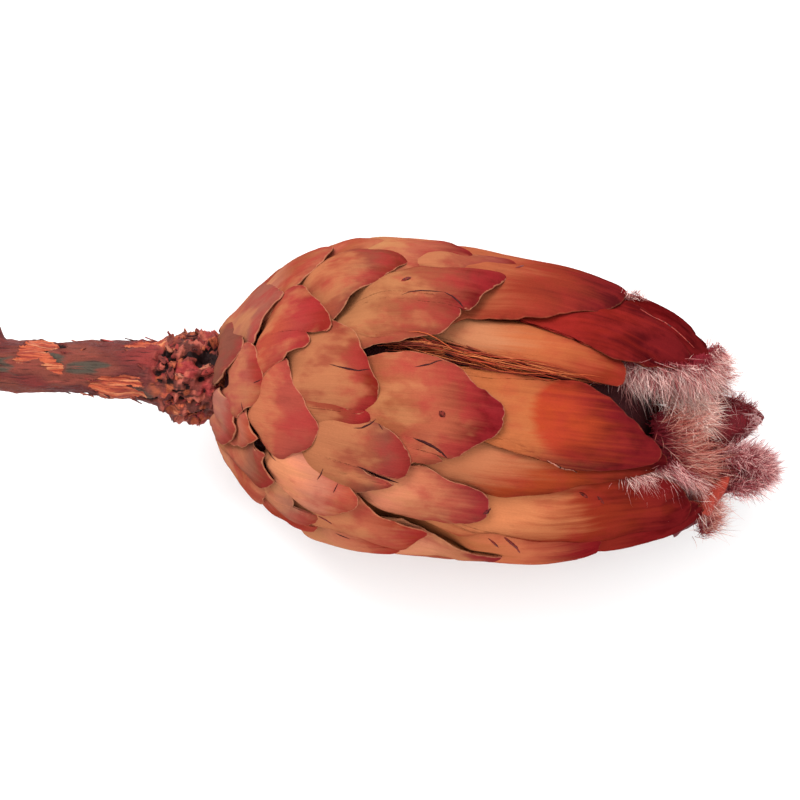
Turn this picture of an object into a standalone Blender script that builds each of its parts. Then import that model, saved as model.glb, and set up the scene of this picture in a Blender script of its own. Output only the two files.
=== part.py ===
"""A dried protea: one closed flower head of overlapping bracts on a short cut woody stem.

The head lies on its side. Its axis runs along +X from the stem to the tip, +Z is up, and the
origin is on the small flat spot that the head rests on. Sizes are in metres, with MM for millimetres.
Places on the head are given as a distance from the head's base along its axis and an angle round
the axis, which is 0 on top, 90 on the +Y side and 180 underneath.
"""

import math
import random

import bmesh
import bpy
import numpy as np
from mathutils import Vector, kdtree

MM = 0.001

# Driving dimensions
BASE_X = -39.5 * MM  # where the head's base lies along X
AXIS_HEIGHT = 30.3 * MM  # the head's axis above the surface that it rests on
HEAD_OUTLINE = (  # (distance from the base, radius) along the closed head
    (0.6, 6.0),
    (0.5, 9.0),
    (1.8, 12.2),
    (4.2, 15.8),
    (8.0, 21.0),
    (14.0, 26.4),
    (22.0, 30.0),
    (32.0, 32.1),
    (50.0, 32.0),
    (65.0, 31.0),
    (76.0, 29.0),
    (88.0, 25.2),
    (98.0, 20.8),
    (105.0, 15.5),
    (109.0, 9.0),
)
STEPS_PER_SPAN = 10
SHORTEST_EDGE = 0.004 * MM

SCALE_THICKNESS = 0.8 * MM
BRACT_THICKNESS = 0.9 * MM
CUP_SIDES = 26
ROOT_ARC = 4.2 * MM  # how near the head's base the roots of the bracts may come
RING_END = 66.0 * MM  # where the outer ring's last tips lie over the inner bracts
RING_RAMP = 9.0 * MM
UNDER_RING = 3.4 * MM  # how deep the inner bracts pass under that ring

STEM_END = -60.0 * MM  # the cut end, from the head's base
STEM_RADIUS = 5.1 * MM
COLLAR_RADIUS = 8.3 * MM
COLLAR_FACE = 0.5 * MM
PEG_RADIUS = 6.9 * MM
PEG_END = 7.0 * MM
SOCKET_RADIUS = 7.4 * MM  # the hole in the bases of both rings of bracts
STEM_SIDES = 16
STEM_RINGS = 36

# One bract is (distance of its apex from the base, angle of its apex, width, length, lean), in
# millimetres and degrees. Lean is how far round the axis its root lies from its apex.
FRONT_SCALES = (
    (4.2, -46, 13, 8, 0),
    (5.0, 34, 14, 8, 0),
    (4.6, 84, 12, 8, 0),
    (4.4, -92, 12, 8, 0),
    (9.8, -2, 17, 11, 0),
    (12.2, 52, 18, 13, 0),
    (10.0, -31, 13, 11, 0),
    (13.4, -50, 13, 13, 0),
    (11.8, -78, 15, 12, 0),
    (12.5, 88, 15, 13, 0),
    (22.6, 31, 22, 18, 0),
    (21.6, -10, 20, 18, 0),
    (21.0, 76, 19, 17, 0),
    (24.5, -58, 15, 19, 0),
    (24.0, -81, 16, 19, 0),
    (33.6, 5, 22, 22, 2),
    (31.2, -41, 18, 20, 2),
    (35.0, 93, 20, 22, 0),
    (37.6, 66, 24, 24, 0),
    (40.6, -84, 18, 24, 0),
    (41.6, -23, 18, 24, 0),
    (45.6, -59.5, 17, 26, 0),
    (52.0, 101, 20, 30, 0),
    (58.4, 54, 25, 34, -12),
    (59.6, -3, 23, 34, 2),
    (58.2, -38, 17, 33, 2),
    (62.4, -86, 18, 36, 0),
)
HIDDEN_SCALES = (  # rings on the far side: (apex, first angle, step, count, width, length)
    (4.6, 128, 46, 3, 13, 8),
    (11.5, 121, 38, 4, 19, 12),
    (22.5, 113, 42, 4, 24, 18),
    (34.0, 132, 45, 3, 27, 22),
    (47.0, 140, 43, 3, 24, 26),
    (60.5, 126, 43, 4, 24, 34),
)
FRONT_BRACTS = (
    (81.4, -68, 18, 53, 2),
    (81.8, 68, 24, 53, 0),
    (92.4, -8, 20, 64, 8),
    (97.4, 45, 18, 69, 2),
    (95.0, -27, 17, 66, 6),
    (91.0, 29, 12, 62, 2),
    (100.6, 68, 16, 72, 0),
    (101.6, -53, 15, 73, 4),
    (105.0, -82, 15, 76, 2),
)
HIDDEN_BRACTS = (
    (81.5, 116, 43, 4, 25, 53),
    (95.0, 101, 49, 4, 23, 67),
    (103.0, 137, 46, 3, 17, 75),
)
FRONT_BRACT_DEPTH = {5: 0.9 * MM}  # the bract that shows inside the gap lies deeper

TUFTS = (  # hair-covered tips that stand out of the mouth: (start, end, side, up, radius)
    (96.0, 111.5, 3.6, 2.0, 4.2),
    (96.0, 114.5, -6.2, 1.0, 4.8),
    (95.0, 107.0, 1.0, -7.0, 4.4),
)
STYLE_COUNT = 9
STYLE_START, STYLE_END = 31.0 * MM, 74.0 * MM
STYLE_FIRST_ANGLE, STYLE_LAST_ANGLE = 14.0, 27.0

STEM_COLOUR = (0.16, 0.055, 0.04)
SCALE_COLOUR = (0.56, 0.17, 0.11)
BRACT_COLOUR = (0.60, 0.17, 0.06)
FLORET_COLOUR = (0.45, 0.11, 0.04)
BEARD_COLOUR = (0.42, 0.20, 0.18)


def smooth_outline():
    """Points of a smooth curve through HEAD_OUTLINE, in metres."""
    given = [np.array(p) * MM for p in HEAD_OUTLINE]
    ends = [2 * given[0] - given[1], *given, 2 * given[-1] - given[-2]]
    points = []
    for a, b, c, d in zip(ends, ends[1:], ends[2:], ends[3:]):
        for step in range(STEPS_PER_SPAN):
            t = step / STEPS_PER_SPAN
            points.append(
                0.5
                * (
                    2 * b
                    + (c - a) * t
                    + (2 * a - 5 * b + 4 * c - d) * t**2
                    + (3 * b - a - 3 * c + d) * t**3
                )
            )
    points.append(given[-1])
    return np.array(points)


OUTLINE = smooth_outline()
ARC = np.concatenate([[0.0], np.cumsum(np.linalg.norm(np.diff(OUTLINE, axis=0), axis=1))])


def arc_at(along):
    """Arc length along the outline at a distance from the base, past the flat base itself."""
    first = int(np.argmin(OUTLINE[:20, 0]))
    return float(np.interp(along, OUTLINE[first:, 0], ARC[first:]))


def profile_at(arc, depth):
    """(distance from the base, radius) at an arc length, a depth under the head's surface."""
    along = np.interp(arc, ARC, OUTLINE[:, 0])
    radius = np.interp(arc, ARC, OUTLINE[:, 1])
    span = 1.5 * MM
    ahead = np.array([np.interp(arc + span, ARC, OUTLINE[:, i]) for i in (0, 1)])
    behind = np.array([np.interp(arc - span, ARC, OUTLINE[:, i]) for i in (0, 1)])
    run, rise = (ahead - behind) / np.linalg.norm(ahead - behind)
    return along + rise * depth, radius - run * depth


def head_point(along, radius, angle):
    """A point in the part's frame from a distance, a radius and an angle round the head's axis."""
    turn = math.radians(angle)
    return Vector(
        (BASE_X + along, radius * math.sin(turn), AXIS_HEIGHT + radius * math.cos(turn))
    )


class Bract:
    """One bract or scale: a thin convex blade that rises from under its neighbours to its apex."""

    def __init__(self, apex, angle, width, length, lean, long=False, extra_depth=0.0):
        self.arc = arc_at(apex * MM)
        self.angle = angle
        self.half_width = width * MM / 2
        self.length = min(length * MM, self.arc - ROOT_ARC - extra_depth)
        self.lean = lean
        self.root_depth = (7.8 if long else 3.2) * MM
        self.sink_length = (46.0 if long else 30.0) * MM
        self.crown = (1.5 if long else 0.8) * MM
        self.extra_depth = extra_depth
        self.under_ring = UNDER_RING if long else 0.0
        self.thickness = BRACT_THICKNESS if long else SCALE_THICKNESS
        self.rows = 6 if long else 3
        self.shoulder = 0.62 if long else 0.55

    def width_at(self, t):
        """Half width at a share t of the length from root to apex."""
        rising = 0.62 + 0.38 * math.sin(math.pi / 2 * min(t / self.shoulder, 1))
        past = max(0.0, (t - self.shoulder) / (1 - self.shoulder))
        return self.half_width * rising * (1 - 0.42 * past**2)

    def point(self, t, w, under):
        """A point of the blade: t from root to apex, w from -1 to 1 across, under below its face."""
        back = self.length * (1 - t) + 0.26 * self.half_width * 2 * abs(w) ** 2.2 * t**3
        sunk = self.root_depth * (1 - math.exp(-back / self.sink_length))
        beyond = (self.arc - back - arc_at(RING_END)) / RING_RAMP
        sunk = max(sunk, self.under_ring * min(max(0.5 - beyond, 0.0), 1.0))
        depth = sunk + self.crown * w * w + self.extra_depth
        depth += 0.9 * MM * max(0.0, (t - 0.8) / 0.2) ** 2
        along, radius = profile_at(self.arc - back, depth + under)
        across = min(self.width_at(t) / max(radius, 3 * MM), math.radians(42))
        angle = self.angle + self.lean * (1 - t) + math.degrees(across) * w
        return head_point(along, radius, angle)

    def blade(self, name):
        """The blade as a closed mesh object."""
        columns = 3
        grid = bmesh.new()
        faces = []
        for under in (0.0, self.thickness):
            faces.append(
                [
                    [
                        grid.verts.new(self.point(i / self.rows, 2 * j / columns - 1, under))
                        for j in range(columns + 1)
                    ]
                    for i in range(self.rows + 1)
                ]
            )
        outer, inner = faces
        for i in range(self.rows):
            for j in range(columns):
                add_quad(grid, outer[i][j], outer[i][j + 1], outer[i + 1][j + 1], outer[i + 1][j])
                add_quad(grid, inner[i][j], inner[i + 1][j], inner[i + 1][j + 1], inner[i][j + 1])
        rim_out, rim_in = rim_of(outer), rim_of(inner)
        for k, vert in enumerate(rim_out):
            after = (k + 1) % len(rim_out)
            add_quad(grid, vert, rim_in[k], rim_in[after], rim_out[after])
        return mesh_object(name, grid)


def rim_of(rows):
    """The vertices round the edge of a grid, in order."""
    right = [row[-1] for row in rows[1:-1]]
    left = [row[0] for row in rows[-2:0:-1]]
    return rows[0] + right + rows[-1][::-1] + left


def add_quad(grid, a, b, c, d):
    """Two triangles, split along the same diagonal wherever they stand."""
    grid.faces.new((a, b, c))
    grid.faces.new((a, c, d))


def mesh_object(name, grid):
    """An object in the parts collection that takes over a bmesh."""
    bmesh.ops.recalc_face_normals(grid, faces=grid.faces)
    data = bpy.data.meshes.new(name)
    grid.to_mesh(data)
    grid.free()
    made = bpy.data.objects.new(name, data)
    PARTS.objects.link(made)
    return made


def material(name, colour, roughness):
    """A plain Principled material."""
    made = bpy.data.materials.new(name)
    made.use_nodes = True
    shader = made.node_tree.nodes["Principled BSDF"]
    shader.inputs["Base Color"].default_value = (*colour, 1.0)
    shader.inputs["Roughness"].default_value = roughness
    shader.inputs["Metallic"].default_value = 0.0
    return made


def realise(made):
    """Replaces an object's mesh by its evaluated one, with its modifiers applied, in world space."""
    bpy.context.view_layer.update()
    evaluated = made.evaluated_get(bpy.context.evaluated_depsgraph_get())
    data = bpy.data.meshes.new_from_object(evaluated)
    data.transform(made.matrix_world)
    made.modifiers.clear()
    made.data = data
    made.matrix_world.identity()
    return made


def turned(name, profile, sides):
    """A solid turned round the head's axis from a closed profile of (distance, radius) points."""
    grid = bmesh.new()
    verts = [grid.verts.new((radius, 0.0, along)) for along, radius in profile]
    for k, vert in enumerate(verts):
        grid.edges.new((vert, verts[(k + 1) % len(verts)]))
    made = mesh_object(name, grid)
    screw = made.modifiers.new("Turn", "SCREW")
    screw.steps = screw.render_steps = sides
    screw.use_merge_vertices = True
    screw.merge_threshold = 0.00001
    screw.use_normal_calculate = True
    made.location = (BASE_X, 0.0, AXIS_HEIGHT)
    made.rotation_euler = (0.0, math.pi / 2, 0.0)
    realise(made)
    return facing_out(made)


def facing_out(made):
    """The object with its faces turned outwards."""
    grid = bmesh.new()
    grid.from_mesh(made.data)
    bmesh.ops.recalc_face_normals(grid, faces=grid.faces)
    grid.to_mesh(made.data)
    grid.free()
    return made


def cup(name, outer_depth, inner_depth, rim, rows):
    """A ring that holds the roots of the bracts: the head's own form between two depths."""
    first, last = arc_at(1.6 * MM), arc_at(rim)
    arcs = np.linspace(first, last, rows)
    outer = [profile_at(a, outer_depth) for a in arcs]
    inner = [profile_at(a, inner_depth) for a in arcs[::-1]]
    base_out = (outer[0][0], SOCKET_RADIUS)
    base_in = (inner[-1][0], SOCKET_RADIUS)
    return turned(name, [base_out, *outer, *inner, base_in], CUP_SIDES)


def combine(base, others, operation, solver="MANIFOLD"):
    """Joins or cuts a base object with others by one Boolean, and removes the others."""
    tools = bpy.data.collections.new("tools")
    bpy.context.scene.collection.children.link(tools)
    for other in others:
        for holder in list(other.users_collection):
            holder.objects.unlink(other)
        tools.objects.link(other)
    boolean = base.modifiers.new("Combine", "BOOLEAN")
    boolean.operation = operation
    boolean.solver = solver
    boolean.operand_type = "COLLECTION"
    boolean.collection = tools
    realise(base)
    for other in others:
        bpy.data.objects.remove(other)
    bpy.data.collections.remove(tools)
    return base


def keep_largest(made):
    """Keeps a Boolean's main body: fills its sealed hollows and drops loose scraps."""
    grid = bmesh.new()
    grid.from_mesh(made.data)
    bmesh.ops.triangulate(grid, faces=grid.faces)
    bmesh.ops.dissolve_degenerate(grid, edges=grid.edges, dist=SHORTEST_EDGE)
    bmesh.ops.triangulate(grid, faces=grid.faces)
    left, groups = set(grid.faces), []
    while left:
        group, front = [], [left.pop()]
        while front:
            face = front.pop()
            group.append(face)
            for edge in face.edges:
                if len(edge.link_faces) == 2:
                    fresh = [other for other in edge.link_faces if other in left]
                    left.difference_update(fresh)
                    front.extend(fresh)
        groups.append(group)
    groups.sort(key=len)
    for group in groups[:-1]:
        bmesh.ops.delete(grid, geom=group, context="FACES")
    part_touching(grid)
    grid.to_mesh(made.data)
    grid.free()
    return made


def part_touching(grid):
    """Draws apart the places where a body only touches itself, along an edge or at a point."""
    tree = kdtree.KDTree(len(grid.verts))
    verts = list(grid.verts)
    for index, vert in enumerate(verts):
        tree.insert(vert.co, index)
    tree.balance()
    moves = {}
    for index, vert in enumerate(verts):
        joined = {edge.other_vert(vert) for edge in vert.link_edges}
        for _, other, _ in tree.find_range(vert.co, SHORTEST_EDGE / 4):
            if other != index and verts[other] not in joined:
                centres = [face.calc_center_median() for face in vert.link_faces]
                inward = sum(centres, Vector()) / len(centres) - vert.co
                moves[index] = inward.normalized() * 1.5 * SHORTEST_EDGE
    for index, move in moves.items():
        verts[index].co += move


def rest_flat(made):
    """Cuts off what lies below the surface that the head rests on."""
    reach, deep = 0.4, 0.05
    bpy.ops.mesh.primitive_cube_add(size=1.0, location=(0.0, 0.0, -deep / 2))
    block = bpy.context.active_object
    block.scale = (reach, reach, deep)
    bpy.context.view_layer.update()
    realise(block)
    return combine(made, [block], "DIFFERENCE")


def all_bracts(front, hidden, long):
    """The bracts of one ring: those of the front as listed, and those behind by a spiral rule."""
    draw = random.Random(12)
    made = []
    for number, (apex, angle, width, length, lean) in enumerate(front):
        extra = FRONT_BRACT_DEPTH.get(number, 0.0) if long else 0.0
        extra += draw.uniform(0.0, 0.4) * MM
        angle += draw.uniform(-0.8, 0.8)
        made.append(Bract(apex, angle, width, length, lean, long=long, extra_depth=extra))
    for apex, first, step, count, width, length in hidden:
        for k in range(count):
            made.append(
                Bract(
                    apex + draw.uniform(-1.2, 1.2),
                    first + k * step + draw.uniform(-2.5, 2.5),
                    width * draw.uniform(0.95, 1.05),
                    length,
                    draw.uniform(-3, 3),
                    long=long,
                    extra_depth=draw.uniform(0.0, 0.4) * MM,
                )
            )
    return made


def build_scales():
    """The outer ring: broad overlapping scales, fused to the cup that holds their roots."""
    ring = cup("outer_bracts", 1.6 * MM, 3.6 * MM, 30 * MM, 6)
    blades = [
        bract.blade(f"scale_{k}")
        for k, bract in enumerate(all_bracts(FRONT_SCALES, HIDDEN_SCALES, long=False))
    ]
    combine(ring, blades, "UNION")
    rest_flat(ring)
    return keep_largest(ring)


def build_bracts():
    """The inner ring: long bracts that close over the florets, fused to their own cup."""
    ring = cup("inner_bracts", 4.9 * MM, 7.2 * MM, 33 * MM, 6)
    blades = [
        bract.blade(f"bract_{k}")
        for k, bract in enumerate(all_bracts(FRONT_BRACTS, HIDDEN_BRACTS, long=True))
    ]
    combine(ring, blades, "UNION")
    rest_flat(ring)
    return keep_largest(ring)


STEM_SCARS = (  # (distance from the head's base, angle, height), the stubs and scars of old leaves
    (-43.5 * MM, 88, 2.4 * MM),
    (-36.0 * MM, 22, 0.7 * MM),
    (-19.5 * MM, -62, 0.8 * MM),
    (-12.0 * MM, -40, 0.9 * MM),
    (-52.0 * MM, -120, 1.0 * MM),
    (-28.0 * MM, 170, 0.9 * MM),
    (-15.0 * MM, 140, 0.8 * MM),
    (-6.0 * MM, -75, 1.0 * MM),
)


def lumps(along, angle):
    """How far the bark stands out or in, from ridges, scars and the rough collar, in metres."""
    turn = math.radians(angle)
    ridges = 0.12 * MM * math.sin(5 * turn + along / (7 * MM))
    collar = math.exp(-(((along + 4.5 * MM) / (5.5 * MM)) ** 2))
    rough = math.sin(4 * turn + along / (1.9 * MM)) + 0.8 * math.sin(7 * turn - along / (1.3 * MM))
    scar = 0.0
    for place, side, size in STEM_SCARS:
        off = (along - place) / (3.4 * MM)
        round_it = math.remainder(angle - side, 360) / 34
        scar += size * math.exp(-(off**2) - round_it**2)
    return ridges + 0.55 * MM * collar * rough + scar


def stem_side(along):
    """How far the stem's line bends sideways from the head's axis, at a distance from the base."""
    share = min(max((along + 44 * MM) / (40 * MM), 0.0), 1.0)
    return 1.6 * MM * share**1.5 * (3 - 2 * share) - 0.1 * MM


def stem_radius(along):
    """The stem's mean radius: it swells to the collar under the head, then steps to its peg."""
    swell = 0.9 * MM * math.exp(-(((along + 15 * MM) / (9 * MM)) ** 2))
    collar = (COLLAR_RADIUS - STEM_RADIUS) / (1 + math.exp(-(along + 9.5 * MM) / (1.2 * MM)))
    return STEM_RADIUS + swell + collar


def build_stem():
    """The cut stem with its rough collar and the peg that carries the head."""
    rings = []
    grid = bmesh.new()
    collar_face = COLLAR_FACE
    stations = [STEM_END + 0.4 * MM]
    span = collar_face - STEM_END - 0.9 * MM
    stations += [STEM_END + 0.9 * MM + span * k / STEM_RINGS for k in range(STEM_RINGS + 1)]
    sections = [(a, None) for a in stations]
    sections += [(collar_face + 0.05 * MM, PEG_RADIUS), (PEG_END, PEG_RADIUS * 0.92)]
    sections.insert(0, (STEM_END, None))
    for number, (along, plain) in enumerate(sections):
        ring = []
        for k in range(STEM_SIDES):
            angle = 360 * k / STEM_SIDES
            radius = plain or stem_radius(along) + lumps(along, angle)
            if number == 0:
                radius -= 0.7 * MM
            point = head_point(along, radius, angle)
            point.y += 0.0 if plain else stem_side(along)
            ring.append(grid.verts.new(point))
        rings.append(ring)
    for near, far in zip(rings, rings[1:]):
        for k in range(STEM_SIDES):
            after = (k + 1) % STEM_SIDES
            add_quad(grid, near[k], near[after], far[after], far[k])
    grid.faces.new(rings[0])
    grid.faces.new(rings[-1][::-1])
    return mesh_object("stem", grid)


def spike(name, start, end, radius, sides=3, bend=None):
    """A tapered hair, lock or style from start to end, with a pointed tip, bent at its middle."""
    grid = bmesh.new()
    axis = (end - start).normalized()
    side = axis.orthogonal().normalized()
    other = axis.cross(side)
    middle = (start + end) / 2 if bend is None else bend
    rings = []
    for place, share in ((start, 1.0), (middle, 0.8)):
        rings.append(
            [
                grid.verts.new(
                    place
                    + radius * share * math.cos(2 * math.pi * k / sides) * side
                    + radius * share * math.sin(2 * math.pi * k / sides) * other
                )
                for k in range(sides)
            ]
        )
    tip = grid.verts.new(end)
    for k in range(sides):
        after = (k + 1) % sides
        add_quad(grid, rings[0][k], rings[0][after], rings[1][after], rings[1][k])
        grid.faces.new((rings[1][k], rings[1][after], tip))
    grid.faces.new(rings[0][::-1])
    return mesh_object(name, grid)


def build_florets():
    """The packed florets inside the head: a ribbed spindle, with loose styles in the gap."""
    grid = bmesh.new()
    ribs = 14
    rings = []
    stations = np.linspace(PEG_END + 0.4 * MM, 92 * MM, 11)
    for along in stations:
        arc = arc_at(max(float(along), 8 * MM))
        radius = max(profile_at(arc, 10.8 * MM)[1], 6 * MM)
        radius = min(radius, 5 * MM + (along - PEG_END) * 1.1)
        if along > 80 * MM:
            radius = min(radius, 13 * MM - (along - 80 * MM) * 0.35)
        rings.append(
            [
                grid.verts.new(
                    head_point(along, radius * (1 if k % 2 else 0.93), 360 * k / (2 * ribs))
                )
                for k in range(2 * ribs)
            ]
        )
    for near, far in zip(rings, rings[1:]):
        for k in range(2 * ribs):
            after = (k + 1) % (2 * ribs)
            add_quad(grid, near[k], near[after], far[after], far[k])
    grid.faces.new(rings[0])
    grid.faces.new(rings[-1][::-1])
    mass = mesh_object("florets", grid)
    styles = []
    for k in range(STYLE_COUNT):
        share = k / (STYLE_COUNT - 1)
        angle = STYLE_FIRST_ANGLE + (STYLE_LAST_ANGLE - STYLE_FIRST_ANGLE) * share
        begin = head_point(STYLE_START + 3 * MM * (k % 3), 18.0 * MM, angle + 3)
        middle = head_point((STYLE_START + STYLE_END) / 2, 21.6 * MM, angle)
        end = head_point(STYLE_END - 4 * MM * (k % 2), 18.0 * MM, angle - 5)
        styles.append(spike(f"style_{k}", begin, end, 0.7 * MM, bend=middle))
    combine(mass, styles, "UNION")
    return keep_largest(mass)


def build_beard():
    """The hair of the bract tips: locks on a low dome in the mouth and on the tufts beyond it."""
    draw = random.Random(5)
    start = 92.4 * MM
    profile = [
        (start, 0.0),
        (start, 14.5 * MM),
        (start + 3 * MM, 14.0 * MM),
        (start + 7 * MM, 9.0 * MM),
        (start + 9 * MM, 0.0),
    ]
    dome = turned("beard", profile, 20)
    pieces = []
    for k, (first, last, side, up, radius) in enumerate(TUFTS):
        begin = Vector((BASE_X + first * MM, side * MM * 0.8, AXIS_HEIGHT + up * MM * 0.8))
        end = Vector((BASE_X + last * MM, side * MM, AXIS_HEIGHT + up * MM))
        pieces.append(
            spike(f"tuft_{k}", begin, end, radius * MM, sides=7, bend=begin.lerp(end, 0.55))
        )
        for _ in range(12):
            share = draw.uniform(0.35, 0.9)
            angle = draw.uniform(0, 2 * math.pi)
            out = Vector((0.0, math.cos(angle), math.sin(angle)))
            root = begin.lerp(end, share)
            tip = root + out * radius * MM * 1.15 + Vector((draw.uniform(3, 5) * MM, 0, 0))
            pieces.append(spike(f"tuft_lock_{k}", root, tip, 0.55 * MM))
    for k in range(42):
        ring = math.sqrt(draw.uniform(0.1, 1.0))
        angle = 137.5 * k
        root = head_point(start + (1.5 + 5 * (1 - ring)) * MM, 13.0 * MM * ring, angle)
        reach = start + draw.uniform(9.0, 12.5) * MM
        tip = head_point(reach, 13.6 * MM * ring, angle + draw.uniform(-12, 12))
        pieces.append(spike(f"lock_{k}", root, tip, 0.6 * MM))
    combine(dome, pieces, "UNION")
    return keep_largest(dome)


def clear_scene():
    """Removes every object of the scene."""
    for old in list(bpy.data.objects):
        bpy.data.objects.remove(old)


def main():
    """Builds the protea's pieces and gives each its material."""
    finishes = (
        (build_stem(), material("stem_bark", STEM_COLOUR, 0.8)),
        (build_scales(), material("outer_bract", SCALE_COLOUR, 0.6)),
        (build_bracts(), material("inner_bract", BRACT_COLOUR, 0.5)),
        (build_florets(), material("floret", FLORET_COLOUR, 0.6)),
        (build_beard(), material("beard_hair", BEARD_COLOUR, 0.9)),
    )
    for made, finish in finishes:
        made.data.materials.clear()
        made.data.materials.append(finish)


clear_scene()
PARTS = bpy.data.collections.new("protea")
bpy.context.scene.collection.children.link(PARTS)
main()
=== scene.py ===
"""A dried protea head on its cut woody stem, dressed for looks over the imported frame.

The head lies on its side on a pale floor and is seen from straight above. Its bracts are thin
blades laid over one another from the innermost to the outermost, each traced by its own margin in
distances along the head's form and angles round its axis (0 on top, 90 on the +Y side). Sizes are
in millimetres up to the making of a mesh, and meshes are in metres.
"""

from __future__ import annotations

import logging
import math
from dataclasses import dataclass, field
from enum import Enum

import bpy
import numpy as np
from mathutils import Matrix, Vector
from mathutils.bvhtree import BVHTree

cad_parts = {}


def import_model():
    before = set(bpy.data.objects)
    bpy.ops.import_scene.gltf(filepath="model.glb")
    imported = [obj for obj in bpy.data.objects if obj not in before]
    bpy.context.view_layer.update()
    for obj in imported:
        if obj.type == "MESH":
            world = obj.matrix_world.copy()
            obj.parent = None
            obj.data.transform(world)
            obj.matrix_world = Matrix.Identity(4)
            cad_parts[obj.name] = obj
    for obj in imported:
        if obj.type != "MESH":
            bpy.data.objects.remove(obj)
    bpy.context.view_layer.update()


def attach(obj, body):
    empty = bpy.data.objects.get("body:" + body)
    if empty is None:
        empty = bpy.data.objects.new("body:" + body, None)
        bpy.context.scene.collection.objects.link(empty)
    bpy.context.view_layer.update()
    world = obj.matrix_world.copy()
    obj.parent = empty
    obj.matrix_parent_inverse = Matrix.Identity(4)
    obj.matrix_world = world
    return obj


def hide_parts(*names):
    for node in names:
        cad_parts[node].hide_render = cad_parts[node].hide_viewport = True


MM = 0.001
BASE_X = -39.5
AXIS_HEIGHT = 30.3
log = logging.getLogger("protea")


class Kind(Enum):
    """The three sorts of bract, by how they are rooted and finished."""

    SCALE = "scale"
    BRACT = "bract"
    LONG = "long"


class Noise:
    """Smooth seeded noise in three dimensions, from -1 to 1."""

    def __init__(self, seed: int) -> None:
        """Fills the lattice of random values.

        Args:
            seed: the number that fixes the pattern.
        """
        self.table = np.random.default_rng(seed).uniform(-1, 1, (32, 32, 32))

    def at(self, points: np.ndarray, size: float | tuple[float, ...]) -> np.ndarray:
        """Noise at points.

        Args:
            points: an array whose last axis holds three coordinates.
            size: the size of the pattern, one number or one for each axis.

        Returns:
            An array of the other axes' shape.
        """
        place = points / np.asarray(size, dtype=float)
        cell = np.floor(place).astype(int)
        part = place - cell
        part = part * part * (3 - 2 * part)
        total = np.zeros(points.shape[:-1])
        for corner in range(8):
            step = np.array([corner & 1, corner >> 1 & 1, corner >> 2 & 1])
            index = (cell + step) % 32
            weight = np.prod(np.where(step, part, 1 - part), axis=-1)
            total += weight * self.table[index[..., 0], index[..., 1], index[..., 2]]
        return total

    def layered(self, points: np.ndarray, size: float, layers: int = 3) -> np.ndarray:
        """Noise summed over several sizes, each half the one before.

        Args:
            points: an array whose last axis holds three coordinates.
            size: the largest pattern's size.
            layers: how many sizes are summed.

        Returns:
            An array of the other axes' shape.
        """
        total = np.zeros(points.shape[:-1])
        for layer in range(layers):
            total += self.at(points + 17.3 * layer, np.array(size) / 2**layer) / 2**layer
        return total


def smooth_step(values: np.ndarray, low: float, high: float) -> np.ndarray:
    """A share that rises smoothly from 0 at low to 1 at high.

    Args:
        values: the numbers to place between the two.
        low: where the share is 0.
        high: where the share is 1.

    Returns:
        The shares.
    """
    share = np.clip((values - low) / (high - low), 0, 1)
    return share * share * (3 - 2 * share)


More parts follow.
